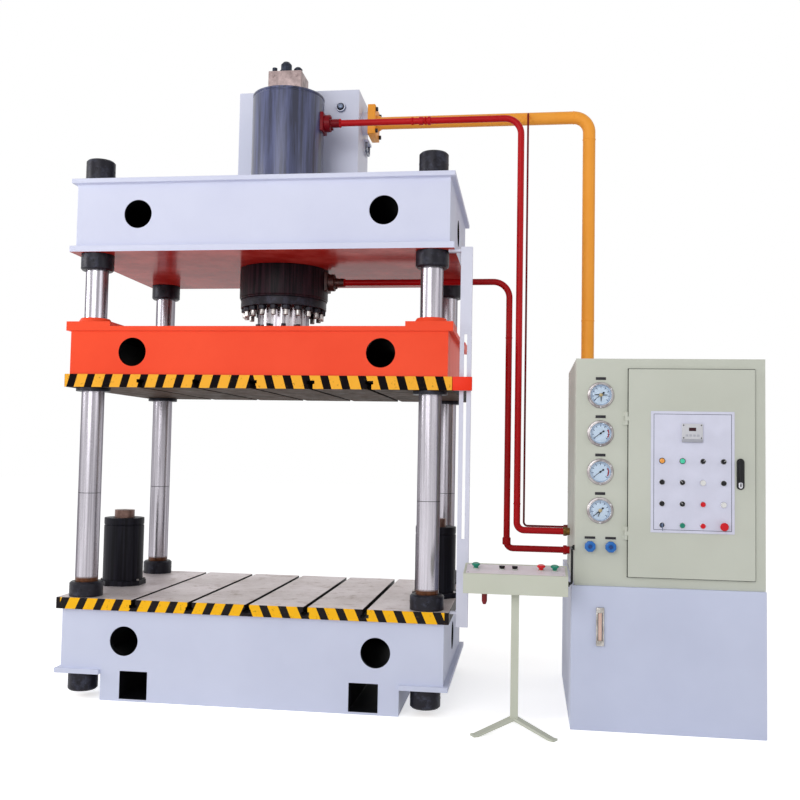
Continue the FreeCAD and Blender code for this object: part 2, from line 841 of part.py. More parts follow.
def make_filling_valve():
    top = "(%s + cylinder_rise)" % CROWN_TOP
    block_top = "(%s + valve_height)" % top
    block = box("valve_block", ("valve_offset - valve_width / 2", "-valve_depth / 2", top),
                ("valve_offset + valve_width / 2", "valve_depth / 2", block_top))
    neck = cylinder("valve_neck", "valve_neck_diameter", "tank_front - valve_depth / 4",
                    ("valve_offset", "valve_depth / 4", top + " + valve_neck_drop"), Y_AXIS)
    body = fuse("valve_body", [block, neck])
    caps = []
    for name in ("dome", "small_dome"):
        rim, height = name + "_diameter / 2", name + "_height"
        caps.append(turned("valve_" + name, ("valve_offset + %s_x" % name, name + "_y", block_top),
                           (("0", "0"), (rim, "0"), (rim, height + " / 2"), (rim + " * 3 / 4", height + " * 5 / 6"),
                            (rim + " / 3", height), ("0", height))))
    caps.append(cylinder("valve_plug", "plug_diameter", "plug_height",
                         ("valve_offset + plug_x", "plug_y", block_top)))
    node(group("filling_valve_group", [body] + caps), "filling_valve")


TANK_SIDE = "(tank_width / 2)"
STUB_Y = "(tank_front + stub_centre)"
SUCTION_HEIGHT = "(%s + tank_height - stub_drop)" % CROWN_TOP


def make_filler_tank():
    low, high = CROWN_TOP, CROWN_TOP + " + tank_height"
    shell = box("tank_shell", ("-" + TANK_SIDE, "tank_front", low), (TANK_SIDE, "tank_front + tank_depth", high))
    space = box("tank_space", ("-%s + tank_wall" % TANK_SIDE, "tank_front + tank_wall", low + " + tank_wall"),
                (TANK_SIDE + " - tank_wall", "tank_front + tank_depth - tank_wall", high + " - tank_wall"))
    hollow = cut("tank_hollow", shell, [space])
    stub = cylinder("tank_stub", "stub_diameter", "stub_length", (TANK_SIDE, STUB_Y, SUCTION_HEIGHT), X_AXIS)
    plug = cylinder("tank_plug", "tank_plug_diameter", "tank_plug_length",
                    ("tank_plug_offset", "tank_front - tank_plug_length", high + " - tank_plug_drop"), Y_AXIS)
    shelf = "(%s - level_shelf_drop)" % SUCTION_HEIGHT
    near = "(%s + level_tube_offset)" % STUB_Y
    far = "(%s + level_tube_width)" % near
    tube_x = TANK_SIDE + " + level_tube_diameter"
    bracket = box("level_shelf", (TANK_SIDE, near + " - level_tube_diameter", shelf),
                  (TANK_SIDE + " + 2 * level_tube_diameter", far + " + level_tube_diameter",
                   shelf + " + level_tube_diameter"))
    legs = pipe("level_tube", "level_tube_diameter", "0",
                [(tube_x, near, shelf + " + level_tube_diameter / 2"), (tube_x, near, shelf + " - level_tube_drop"),
                 (tube_x, far, shelf + " - level_tube_drop"), (tube_x, far, shelf + " + level_tube_diameter / 2")],
                ["1.2 * level_tube_diameter", "1.2 * level_tube_diameter"], open_ends=False)
    node(fuse("filler_tank_solid", [hollow, stub, plug, bracket, legs]), "filler_tank")


# ---------------------------------------------------------------------------------------------
# Pipes
# ---------------------------------------------------------------------------------------------

CABINET_SIDE = "cabinet_left"


def port_flange(name, face, height):
    """A round four-bolt flange with a stepped neck, on the pad of the cylinder."""
    disc = cylinder(name + "_disc", "port_flange_diameter", "port_flange_thickness", (face, "0", height), X_AXIS)
    neck = cylinder(name + "_neck", "neck_diameter", "neck_length",
                    ("%s + port_flange_thickness" % face, "0", height), X_AXIS)
    bolts = []
    for n in range(4):
        turn = "(%d * 90 + 45)" % n
        bolts.append(cylinder("%s_bolt_%d" % (name, n), "port_bolt_diameter", "port_bolt_head",
                              ("%s + port_flange_thickness" % face, "port_bolt_circle / 2 * cos(%s)" % turn,
                               "%s + port_bolt_circle / 2 * sin(%s)" % (height, turn)), X_AXIS))
    return [disc, neck] + bolts


def union_at_cabinet(name, y, height):
    return cylinder(name, "union_diameter", "union_length", ("%s - union_length" % CABINET_SIDE, y, height), X_AXIS)


def make_pressure_pipe():
    face = PORT_FACE % "cylinder_diameter"
    tube = pipe("pressure_tube", "pressure_diameter", "pressure_wall",
                [(face + " + port_flange_thickness", "0", PRESSURE_HEIGHT), ("pressure_x", "0", PRESSURE_HEIGHT),
                 ("pressure_x", "0", "pressure_low"), (CABINET_SIDE, "0", "pressure_low")],
                ["pressure_bend", "pressure_low_bend"])
    parts = [tube, union_at_cabinet("pressure_union", "0", "pressure_low")]
    node(fuse("pressure_pipe_solid", parts + port_flange("pressure_port", face, PRESSURE_HEIGHT)), "pressure_pipe")


def make_return_pipe():
    face = PORT_FACE % "mouth_diameter"
    tube = pipe("return_tube", "return_diameter", "return_wall",
                [(face + " + port_flange_thickness", "0", RETURN_HEIGHT), ("return_x", "0", RETURN_HEIGHT),
                 ("return_x", "0", "return_low"), (CABINET_SIDE, "0", "return_low")],
                ["return_bend", "return_low_bend"])
    sleeve = cylinder("return_sleeve", "1.3 * return_diameter", "return_low_bend",
                      ("return_x", "0", "return_low + 0.6 * return_low_bend"))
    parts = [tube, sleeve, union_at_cabinet("return_union", "0", "return_low")]
    node(fuse("return_pipe_solid", parts + port_flange("return_port", face, RETURN_HEIGHT)), "return_pipe")


PILOT_BOSS_Y = "(%s - suction_diameter / 2 - pilot_boss_length)" % STUB_Y


def make_pilot_pipe():
    """The thin drain line that rises from the cabinet to a boss on the front of the suction pipe."""
    tube = pipe("pilot_tube", "pilot_diameter", "pilot_wall",
                [(CABINET_SIDE, "pilot_y", "pilot_low"), ("pilot_x", "pilot_y", "pilot_low"),
                 ("pilot_x", "pilot_y", SUCTION_HEIGHT), ("pilot_x", PILOT_BOSS_Y, SUCTION_HEIGHT)],
                ["pilot_bend", "pilot_bend"])
    union = cylinder("pilot_union", "2 * pilot_diameter", "2 * pilot_diameter",
                     ("%s - 2 * pilot_diameter" % CABINET_SIDE, "pilot_y", "pilot_low"), X_AXIS)
    node(fuse("pilot_pipe_solid", [tube, union]), "pilot_pipe")


def make_suction_pipe():
    start = "(%s + stub_length)" % TANK_SIDE
    half = "suction_flange / 2"
    flange = box("suction_flange_plate", (start, "%s - %s" % (STUB_Y, half), "%s - %s" % (SUCTION_HEIGHT, half)),
                 (start + " + suction_flange_thickness", "%s + %s" % (STUB_Y, half),
                  "%s + %s" % (SUCTION_HEIGHT, half)))
    bolts = [cylinder("suction_bolt_%d%d" % (across, up), "suction_bolt_diameter", "suction_bolt_head",
                      (start + " + suction_flange_thickness",
                       "%s + (%d) * suction_bolt_spread / 2" % (STUB_Y, across),
                       "%s + (%d) * suction_bolt_spread / 2" % (SUCTION_HEIGHT, up)), X_AXIS)
             for across in (-1, 1) for up in (-1, 1)]
    tube = pipe("suction_tube", "suction_diameter", "suction_wall",
                [(start, STUB_Y, SUCTION_HEIGHT), ("suction_x", STUB_Y, SUCTION_HEIGHT),
                 ("suction_x", STUB_Y, "unit_height")], ["suction_bend"])
    seams = [cylinder("suction_seam_%d" % n, "suction_diameter + suction_wall", "suction_seam_length",
                      ("suction_x", STUB_Y, "%s - suction_seam_drop - %d * suction_seam_spacing" % (SUCTION_HEIGHT, n)))
             for n in range(2)]
    foot = cylinder("suction_foot", "1.8 * suction_diameter", "0.25 * suction_diameter",
                    ("suction_x", STUB_Y, "unit_height"))
    boss = cylinder("suction_pilot_boss", "pilot_boss_diameter", "pilot_boss_length + suction_wall",
                    ("pilot_x", PILOT_BOSS_Y, SUCTION_HEIGHT), Y_AXIS)
    node(fuse("suction_pipe_solid", [flange, tube, foot, boss] + seams + bolts), "suction_pipe")


# ---------------------------------------------------------------------------------------------
# Slide and what travels with it
# ---------------------------------------------------------------------------------------------


def make_slide():
    webs = box("slide_box", ("-" + WEB_X, "-" + SLIDE_WEB_Y, SLIDE_LOW), (WEB_X, SLIDE_WEB_Y, SLIDE_TOP))
    roof = box("slide_roof_plate", ("-" + PLATE_X, "-" + PLATE_Y, SLIDE_TOP + " - slide_roof"),
               (PLATE_X, PLATE_Y, SLIDE_TOP))
    pads, caps = [], []
    for across in ("left", "right"):
        for along in ("front", "rear"):
            low_x = "-" + PLATE_X if across == "left" else PLATE_X + " - pad_width"
            low_y = "-" + PLATE_Y if along == "front" else PLATE_Y + " - pad_width"
            pads.append(box("slide_pad_%s_%s" % (along, across), (low_x, low_y, SLIDE_TOP),
                            (low_x + " + pad_width", low_y + " + pad_width", SLIDE_TOP + " + pad_height")))
    for corner, (x, y) in COLUMNS.items():
        caps.append(cone("slide_cap_" + corner, "cap_foot_diameter", "cap_top_diameter", "cap_height",
                         (x, y, SLIDE_TOP + " + pad_height")))
    hollow = ribbed_cavity("slide_hollow", SLIDE_LOW + " + slide_floor", SLIDE_TOP + " - slide_roof",
                           SLIDE_WEB_Y, True)
    bore = "column_diameter + 2 * (guide_clearance + bush_wall)"
    cap_bore = "column_diameter + 2 * wiper_clearance"
    bores = column_cylinders("slide_bore", bore, SLIDE_LOW, SLIDE_TOP)
    bores += column_cylinders("slide_cap_bore", cap_bore, SLIDE_LOW, SLIDE_TOP + " + pad_height + 2 * cap_height")
    outside = fuse("slide_outside", [webs, roof] + pads + caps)
    tools = [hollow] + access_holes("slide_hole", SLIDE_LOW + " + slide_hole_height", False) + bores
    node(cut("slide_solid", outside, tools), "slide")


def make_platen():
    bore = "column_diameter + 2 * (guide_clearance + bush_wall)"
    bores = column_cylinders("platen_bore", bore, PLATEN_LOW + " - plate_lip", SLIDE_LOW + " + plate_lip")
    node(slotted_plate("platen", ("0", "0", PLATEN_LOW), "platen_thickness", bores, False), "slide_platen")


def make_guide_bushes():
    """A bush for each column, with its flange against the platen's underside."""
    bore = "column_diameter / 2 + guide_clearance"
    rim, flange = bore + " + bush_wall", "bush_flange / 2"
    length = "platen_thickness + slide_height + bush_flange_height"
    bushes = [turned("bush_" + corner, (x, y, PLATEN_LOW + " - bush_flange_height"),
                     ((bore, "0"), (flange, "0"), (flange, "bush_flange_height"), (rim, "bush_flange_height"),
                      (rim, length), (bore, length)))
              for corner, (x, y) in COLUMNS.items()]
    node(group("guide_bushes_group", bushes), "guide_bushes")


def make_piston_rod():
    """Rod, piston head and bottom flange are one turned piece; its screws are fused to the flange."""
    rod, flange = "rod_diameter / 2", "rod_flange_diameter / 2"
    head = "cylinder_bore / 2 - guide_clearance"
    length = "(crown_gap + crown_height + cylinder_rise - cylinder_cap - piston_top_gap)"
    shaft = turned("rod_shaft", ("0", "0", SLIDE_TOP),
                   (("0", "0"), (flange, "0"), (flange, "rod_flange_thickness"), (rod, "rod_flange_thickness"),
                    (rod, length + " - piston_height"), (head, length + " - piston_height"), (head, length),
                    ("0", length)))
    screws = []
    for n in range(SIZES["rod_screw_count"]):
        turn = "((%d + 1 / 2) * 360 / rod_screw_count)" % n
        screws.append(cylinder("rod_screw_%d" % n, "rod_screw_diameter", "rod_screw_height",
                               ("rod_screw_circle / 2 * cos(%s)" % turn, "rod_screw_circle / 2 * sin(%s)" % turn,
                                SLIDE_TOP + " + rod_flange_thickness")))
    node(fuse("piston_rod_solid", [shaft] + screws), "piston_rod")


def make_trip_arm():
    """The arm on the platen's end that travels along the front of the stroke rail."""
    front = "(rail_front + trip_arm_gap + trip_arm_thickness)"
    node(box("trip_arm_block", (PLATE_X, "-" + front, PLATEN_LOW),
             (PLATE_X + " + trip_arm_length", "-rail_front - trip_arm_gap", SLIDE_LOW)), "trip_arm")


# ---------------------------------------------------------------------------------------------
# Stroke rail and table buffers
# ---------------------------------------------------------------------------------------------


def make_stroke_rail():
    """A slotted channel beside the front right column, held by a bracket at the crown and at the table."""
    left = "(%s + rail_gap)" % PLATE_X
    right = "(%s + rail_width)" % left
    height = "(rail_high - rail_low)"
    channel = extruded("rail_channel", (left, "-rail_front", "rail_low + %s / 2" % height), "XY_Plane",
                       (("0", "0"), ("rail_width", "0"), ("rail_width", "rail_depth"),
                        ("rail_width - rail_wall", "rail_depth"), ("rail_width - rail_wall", "rail_wall"),
                        ("rail_wall", "rail_wall"), ("rail_wall", "rail_depth"), ("0", "rail_depth")), height)
    middle = "(%s + rail_width / 2)" % left
    slot = box("rail_slot", (middle + " - rail_slot_width / 2", "-rail_front - rail_wall", "rail_slot_low"),
               (middle + " + rail_slot_width / 2", "-rail_front + 2 * rail_wall", "rail_slot_high"))
    slotted = cut("rail_slotted", channel, [slot])
    low, high = "(-rail_front + rail_wall)", "(-rail_front + rail_wall + rail_bracket_depth)"
    upper = box("rail_bracket_high", (PLATE_X + " - rail_gap", low, CROWN_LOW + " - rail_bracket_thickness"),
                (right + " - rail_wall", high, CROWN_LOW))
    lower = box("rail_bracket_low", (PLATE_X, low, TABLE_TOP + " - rail_bracket_thickness"),
                (right + " - rail_wall", high, TABLE_TOP))
    node(fuse("stroke_rail_solid", [slotted, upper, lower]), "stroke_rail")


def make_buffers():
    """Two short cylinders on the table whose rods meet the platen near the end of its stroke."""
    bodies = []
    for side, x in (("left", "-buffer_x"), ("right", "buffer_x")):
        base = doc.addObject("Part::Prism", "buffer_base_" + side)
        base.Polygon = 8
        bind(base, "Circumradius", "buffer_base_width / 2 / cos(22.5)")
        bind(base, "Height", "buffer_base_height")
        place(base, (x, "buffer_y", TABLE_TOP), FreeCAD.Rotation(Z_AXIS, 22.5))
        rim, rod = "buffer_diameter / 2", "(buffer_rod_diameter / 2 + guide_clearance)"
        waist = rim + " - buffer_groove_depth"
        groove = "buffer_height - buffer_groove_drop"
        floor = "buffer_height + buffer_rod_rise - buffer_rod_length - buffer_travel"
        barrel = turned("buffer_barrel_" + side, (x, "buffer_y", TABLE_TOP),
                        (("0", "0"), (rim, "0"), (rim, groove + " - buffer_groove_width"),
                         (waist, groove + " - buffer_groove_width"), (waist, groove), (rim, groove),
                         (rim, "buffer_height"), (rod, "buffer_height"), (rod, floor), ("0", floor)))
        bodies.append(fuse("buffer_body_" + side, [base, barrel]))
        rod_low = "%s + buffer_height + buffer_rod_rise - buffer_rod_length" % TABLE_TOP
        node(cylinder("buffer_piston_" + side, "buffer_rod_diameter", "buffer_rod_length",
                      (x, "buffer_y", rod_low)), "buffer_rod_" + side)
    node(group("buffer_cylinders_group", bodies), "buffer_cylinders")


# ---------------------------------------------------------------------------------------------
# Power unit: oil tank, cabinet, door and what is on them
# ---------------------------------------------------------------------------------------------

CABINET_FACE = "(-cabinet_front)"
CABINET_TOP = "(unit_height + cabinet_height)"
CABINET_RIGHT = "(cabinet_left + cabinet_width)"
DOOR_LEFT = "(%s - door_margin - door_width)" % CABINET_RIGHT
DOOR_LOW = "(unit_height + door_base)"
DOOR_FACE = "(-cabinet_front - door_gap - door_thickness)"
PANEL_FACE = "(%s - panel_thickness)" % DOOR_FACE
PANEL_X = "(%s + panel_left)" % DOOR_LEFT
PANEL_Z = "(%s + panel_base)" % DOOR_LOW
HINGE_X = "(%s - hinge_reach)" % DOOR_LEFT
HINGE_Y = "(%s - hinge_diameter / 2)" % CABINET_FACE
OUTWARD = FreeCAD.Vector(0, -1, 0)


def make_oil_tank():
    low, right = "(-unit_front)", "(unit_left + unit_width)"
    back = "(unit_depth - unit_front)"
    shell = box("oil_shell", ("unit_left", low, "0"), (right, back, "unit_height"))
    space = box("oil_space", ("unit_left + unit_wall", low + " + unit_wall", "unit_wall"),
                (right + " - unit_wall", back + " - unit_wall", "unit_height - unit_wall"))
    node(cut("oil_tank_solid", shell, [space]), "oil_tank")


def make_oil_level():
    left = "cabinet_left + oil_level_offset - oil_level_width / 2"
    high = "unit_height - oil_level_drop"
    rim = "oil_level_width / 5"
    frame = box("oil_level_frame", (left, "-unit_front - oil_level_thickness", high + " - oil_level_height"),
                (left + " + oil_level_width", "-unit_front", high))
    window = box("oil_level_window", (left + " + " + rim, "-unit_front - 2 * oil_level_thickness",
                                      high + " - oil_level_height + 2 * " + rim),
                 (left + " + oil_level_width - " + rim, "-unit_front - oil_level_thickness / 2",
                  high + " - 2 * " + rim))
    node(cut("oil_level_solid", frame, [window]), "oil_level_gauge")


def hinge_heights():
    return (("upper", "(%s + hinge_upper_height)" % DOOR_LOW), ("lower", "(%s + hinge_lower_height)" % DOOR_LOW))


def make_cabinet():
    shell = box("cabinet_shell", ("cabinet_left", CABINET_FACE, "unit_height"),
                (CABINET_RIGHT, CABINET_FACE + " + cabinet_depth", CABINET_TOP))
    bay = box("cabinet_bay", (DOOR_LEFT + " + bay_margin", CABINET_FACE + " - cabinet_wall", DOOR_LOW + " + bay_margin"),
              (DOOR_LEFT + " + door_width - bay_margin", CABINET_FACE + " + bay_depth",
               DOOR_LOW + " + door_height - bay_margin"))
    rear = box("cabinet_pump_space", ("cabinet_left + cabinet_wall", CABINET_FACE + " + bay_depth + partition",
                                      "unit_height + cabinet_wall"),
               (CABINET_RIGHT + " - cabinet_wall", CABINET_FACE + " + cabinet_depth - cabinet_wall",
                CABINET_TOP + " - cabinet_wall"))
    side = box("cabinet_gauge_space", ("cabinet_left + cabinet_wall", CABINET_FACE + " + cabinet_wall",
                                       "unit_height + cabinet_wall"),
               (DOOR_LEFT + " + bay_margin - partition", CABINET_FACE + " + bay_depth + 2 * partition",
                CABINET_TOP + " - cabinet_wall"))
    hollow = cut("cabinet_hollow", shell, [bay, rear, side])
    knuckles = []
    for name, height in hinge_heights():
        for end, low in (("low", height), ("high", "%s + hinge_length * 2 / 3" % height)):
            length = "hinge_length / 3 - hinge_gap / 2"
            start = low if end == "low" else low + " + hinge_gap / 2"
            knuckles.append(cylinder("cabinet_knuckle_%s_%s" % (name, end), "hinge_diameter", length,
                                     (HINGE_X, HINGE_Y, start)))
            knuckles.append(box("cabinet_leaf_%s_%s" % (name, end), (HINGE_X + " - hinge_diameter", HINGE_Y, start),
                                (HINGE_X, CABINET_FACE, start + " + " + length)))
        knuckles.append(cylinder("cabinet_pin_" + name, "hinge_pin_diameter", "hinge_length",
                                 (HINGE_X, HINGE_Y, height)))
    stems = [cylinder("knob_stem_" + side_name, "knob_stem_diameter", "knob_stem_length", (x, CABINET_FACE, z), OUTWARD)
             for side_name, x, z in knob_places()]
    node(fuse("cabinet_solid", [hollow] + knuckles + stems), "cabinet")


def make_switchgear():
    """The mounting plate in the cabinet with its rows of contactors and terminal blocks."""
    left = "(%s + gear_plate_margin)" % DOOR_LEFT
    right = "(%s + door_width - gear_plate_margin)" % DOOR_LEFT
    low = "(%s + gear_plate_margin)" % DOOR_LOW
    back = "(%s + bay_depth)" % CABINET_FACE
    face = "(%s - gear_plate_stand_off - gear_plate_thickness)" % back
    plate = box("gear_plate", (left, face, low),
                (right, face + " + gear_plate_thickness", "%s + door_height - gear_plate_margin" % DOOR_LOW))
    pads = [box("gear_pad_%d" % n, (x, face, z), (x + " + gear_plate_margin", back, z + " + gear_plate_margin"))
            for n, (x, z) in enumerate(((left, low), (right + " - gear_plate_margin", low)))]
    blocks = []
    first = "(%s + door_width / 2 - rail_block_spacing * (rail_block_count - 1) / 2)" % DOOR_LEFT
    for across in range(SIZES["rail_block_count"]):
        for up in range(SIZES["rail_block_rows"]):
            x = "%s + %d * rail_block_spacing - rail_block_width / 2" % (first, across)
            z = "%s + rail_block_width + %d * rail_block_row_spacing" % (low, up)
            blocks.append(box("gear_block_%d_%d" % (across, up), (x, face + " - rail_block_depth", z),
                              (x + " + rail_block_width", face, z + " + rail_block_height")))
    node(fuse("switchgear_solid", [plate] + pads + blocks), "switchgear")


def make_pump_set():
    """Motor and pump standing on the oil tank inside the closed rear of the cabinet."""
    x = "(cabinet_left + cabinet_width / 2)"
    y = "(%s + (cabinet_depth + bay_depth) / 2)" % CABINET_FACE
    low = "unit_height + cabinet_wall"
    motor_low = low + " + pump_lantern_height"
    flange = cylinder("pump_flange", "pump_flange_diameter", "pump_flange_thickness", (x, y, low))
    lantern = cylinder("pump_lantern", "pump_lantern_diameter", "pump_lantern_height", (x, y, low))
    motor = cylinder("pump_motor", "motor_diameter", "motor_height", (x, y, motor_low))
    cowl = cylinder("pump_cowl", "motor_cowl_diameter", "motor_cowl_height", (x, y, motor_low + " + motor_height"))
    node(fuse("pump_set_solid", [flange, lantern, motor, cowl]), "motor_pump_set")


def gauge_heights():
    return ["(unit_height + gauge_top - %d * gauge_spacing)" % n for n in range(4)]


def make_gauges():
    """Four dial gauges; each needle is fused to its dial."""
    cases, glasses = [], []
    x = "cabinet_left + gauge_column"
    for n, z in enumerate(gauge_heights()):
        flange, ring, glass = "gauge_flange / 2", "gauge_ring / 2", "gauge_glass / 2"
        dial, seat = "gauge_height - gauge_dial_drop", "gauge_height - gauge_glass_thickness"
        sight = glass + " - gauge_glass_seat"
        case = turned("gauge_case_%d" % n, (x, CABINET_FACE, z),
                      (("0", "0"), (flange, "0"), (flange, "gauge_flange_thickness"), (ring, "gauge_flange_thickness"),
                       (ring, "gauge_height"), (glass, "gauge_height"), (glass, seat), (sight, seat),
                       (sight, dial), ("0", dial)), towards(OUTWARD))
        hub = cylinder("gauge_hub_%d" % n, "gauge_hub", "2 * needle_thickness",
                       (x, "%s - (%s)" % (CABINET_FACE, dial), z), OUTWARD)
        needle = box("gauge_needle_%d" % n, ("-needle_length * 0.75", "-needle_width / 2", "0"),
                     ("needle_length * 0.25", "needle_width / 2", "needle_thickness"))
        tilt = FreeCAD.Rotation(towards(OUTWARD)).multiply(FreeCAD.Rotation(Z_AXIS, 45))
        pointer = doc.addObject("Part::Compound", "gauge_pointer_%d" % n)
        pointer.Links = [needle]
        place(pointer, (x, "%s - (%s)" % (CABINET_FACE, dial), z), tilt)
        cases.append(fuse("gauge_%d" % n, [case, hub, pointer]))
        glasses.append(cylinder("gauge_glass_%d" % n, "gauge_glass - 2 * guide_clearance", "gauge_glass_thickness",
                                (x, "%s - gauge_height + gauge_glass_thickness" % CABINET_FACE, z), OUTWARD))
    node(group("gauge_cases_group", cases), "gauge_cases")
    node(group("gauge_glasses_group", glasses), "gauge_glasses")


def knob_places():
    z = "(unit_height + knob_height)"
    return (("left", "(cabinet_left + knob_x)", z), ("right", "(cabinet_left + knob_x + knob_spacing)", z))


def make_valve_knobs():
    for side, x, z in knob_places():
        rim, stem = "knob_diameter / 2", "knob_stem_diameter / 2 + knob_turn_gap"
        depth = "(knob_stem_length - knob_thickness / 3)"
        start = "%s - knob_thickness / 3" % CABINET_FACE
        body = turned("knob_" + side, (x, start, z),
                      ((stem, "0"), (rim, "0"), (rim, "knob_thickness"), ("0", "knob_thickness"),
                       ("0", depth + " + knob_turn_gap"), (stem, depth + " + knob_turn_gap")), towards(OUTWARD))
        node(body, "valve_knob_" + side)


def make_door():
    right, high = "%s + door_width" % DOOR_LEFT, "%s + door_height" % DOOR_LOW
    back = "%s - door_gap" % CABINET_FACE
    slab = box("door_slab", (DOOR_LEFT, DOOR_FACE, DOOR_LOW), (right, back, high))
    tray = box("door_tray", (DOOR_LEFT + " + door_sheet", DOOR_FACE + " + door_sheet", DOOR_LOW + " + door_sheet"),
               (right + " - door_sheet", CABINET_FACE, high + " - door_sheet"))
    pan = cut("door_pan", slab, [tray])
    middle, end = DOOR_LEFT + " + handle_x", "handle_plate_width / 2"
    base = "%s + handle_base + %s" % (DOOR_LOW, end)
    straight = "handle_plate_height - handle_plate_width"
    plate = [box("handle_plate", (middle + " - " + end, DOOR_FACE + " - handle_plate_thickness", base),
                 (middle + " + " + end, DOOR_FACE, base + " + " + straight))]
    plate += [cylinder("handle_plate_end_" + name, "handle_plate_width", "handle_plate_thickness",
                       (middle, DOOR_FACE, height), OUTWARD)
              for name, height in (("low", base), ("high", base + " + " + straight))]
    knuckles, holes = [], []
    for name, height in hinge_heights():
        low = "%s + hinge_length / 3 + hinge_gap / 2" % height
        length = "hinge_length / 3 - hinge_gap"
        knuckles.append(cylinder("door_knuckle_" + name, "hinge_diameter", length, (HINGE_X, HINGE_Y, low)))
        knuckles.append(box("door_leaf_" + name, (HINGE_X, DOOR_FACE, low), (DOOR_LEFT, DOOR_FACE + " + door_sheet",
                                                                             low + " + " + length)))
        holes.append(cylinder("door_pin_hole_" + name, "hinge_pin_diameter + 2 * hinge_pin_clearance", "hinge_length",
                              (HINGE_X, HINGE_Y, height)))
    node(cut("door_solid", fuse("door_blank", [pan] + plate + knuckles), holes), "door")


def make_door_lever():
    x = DOOR_LEFT + " + handle_x"
    face = "(%s - handle_plate_thickness - lever_gap)" % DOOR_FACE
    high = "%s + handle_base + handle_plate_height - handle_pivot_drop" % DOOR_LOW
    boss = cylinder("lever_boss", "lever_width", "lever_thickness", (x, face, high), OUTWARD)
    grip = box("lever_grip", (x + " - lever_width / 2", face + " - lever_thickness", high + " - lever_length"),
               (x + " + lever_width / 2", face, high))
    node(fuse("door_lever_solid", [boss, grip]), "door_lever")


def key_place(column, row):
    """Centre of a control on the panel: columns from the left, rows from the top."""
    x = "(%s + key_column + %d * key_column_spacing)" % (PANEL_X, column)
    z = "(%s + key_row + %d * key_row_spacing)" % (PANEL_Z, 3 - row)
    return x, z


BUTTONS = (("black_button_upper_left", 0, 1), ("white_button_upper", 2, 1), ("black_button_upper_right", 3, 1),
           ("black_button_lower_left", 0, 2), ("red_button_upper", 2, 2), ("white_button_lower", 3, 2),
           ("green_button", 1, 3), ("red_button_lower", 2, 3))
SELECTORS = (("selector_top_left", 2, 0), ("selector_top_right", 3, 0), ("selector_middle", 1, 1),
             ("selector_low", 1, 2))
LAMPS = (("amber", 0, 0), ("green", 1, 0))


def make_control_panel():
    plate = box("panel_plate", (PANEL_X, PANEL_FACE, PANEL_Z),
                (PANEL_X + " + panel_width", DOOR_FACE, PANEL_Z + " + panel_height"))
    rings, wells = [], []
    for row in range(4):
        for column in range(4):
            x, z = key_place(column, row)
            rings.append(cylinder("bezel_%d_%d" % (column, row), "bezel_diameter", "bezel_height",
                                  (x, PANEL_FACE, z), OUTWARD))
            wells.append(cylinder("bezel_bore_%d_%d" % (column, row), "bezel_bore", "2 * bezel_height + panel_thickness",
                                  (x, DOOR_FACE, z), OUTWARD))
    node(cut("control_panel_solid", fuse("panel_blank", [plate] + rings), wells), "control_panel")


def make_counter():
    left, low = PANEL_X + " + counter_left", PANEL_Z + " + counter_base"
    case = box("counter_case", (left, PANEL_FACE + " - counter_thickness", low),
               (left + " + counter_width", PANEL_FACE, low + " + counter_height"))
    window = box("counter_window", (left + " + counter_lip", PANEL_FACE + " - 2 * counter_thickness",
                                    low + " + counter_height / 2"),
                 (left + " + counter_width - counter_lip", PANEL_FACE + " - counter_thickness * 0.8",
                  low + " + counter_height - counter_lip"))
    node(cut("counter_solid", case, [window]), "counter")


def make_lamps():
    lenses = []
    for name, column, row in LAMPS:
        x, z = key_place(column, row)
        rim, top = "lamp_diameter / 2", "lamp_height + lamp_dome_height"
        lenses.append(turned("lamp_" + name, (x, DOOR_FACE, z),
                             (("0", "0"), (rim, "0"), (rim, "lamp_height"), (rim + " / 2", top), ("0", top)),
                             towards(OUTWARD)))
    node(group("lamps_group", lenses), "indicator_lamps")


def make_panel_controls():
    rest = "(%s - button_travel - lever_gap)" % DOOR_FACE
    for name, column, row in BUTTONS:
        x, z = key_place(column, row)
        node(cylinder("cap_" + name, "button_diameter", "button_height", (x, rest, z), OUTWARD), name)
    for name, column, row in SELECTORS:
        x, z = key_place(column, row)
        face = "(%s - lever_gap)" % DOOR_FACE
        disc = cylinder("disc_" + name, "button_diameter", "button_height", (x, face, z), OUTWARD)
        bar = box("bar_" + name, (x + " - selector_bar_width / 2", face + " - button_height - selector_bar_height",
                                  z + " - button_diameter * 9 / 20"),
                  (x + " + selector_bar_width / 2", face + " - button_height / 2", z + " + button_diameter * 9 / 20"))
        node(fuse("solid_" + name, [disc, bar]), name)
    make_key_switch()
    make_emergency_stop()


def make_key_switch():
    x, z = key_place(0, 3)
    face = "(%s - lever_gap)" % DOOR_FACE
    disc = cylinder("key_barrel", "button_diameter", "button_height", (x, face, z), OUTWARD)
    blade = box("key_blade", (x + " - key_blade_width / 2", face + " - button_height - key_blade_length",
                              z + " - key_blade_height * 3 / 4"),
                (x + " + key_blade_width / 2", face + " - button_height * 19 / 20", z + " + key_blade_height / 4"))
    node(fuse("key_switch_solid", [disc, blade]), "key_switch")


def make_emergency_stop():
    x, z = key_place(3, 3)
    rest = "(%s - stop_travel - lever_gap)" % DOOR_FACE
    rim, stem = "stop_diameter / 2", "button_diameter / 2"
    reach = "(panel_thickness + bezel_height + stop_stem_height - stop_travel)"
    node(turned("stop_mushroom", (x, rest, z),
                (("0", "0"), (stem, "0"), (stem, reach), (rim, reach), (rim, reach + " + stop_cap_height * 0.7"),
                 (rim + " * 0.8", reach + " + stop_cap_height"), ("0", reach + " + stop_cap_height")),
                towards(OUTWARD)), "emergency_stop")


# ---------------------------------------------------------------------------------------------
# Operator's console
# ---------------------------------------------------------------------------------------------

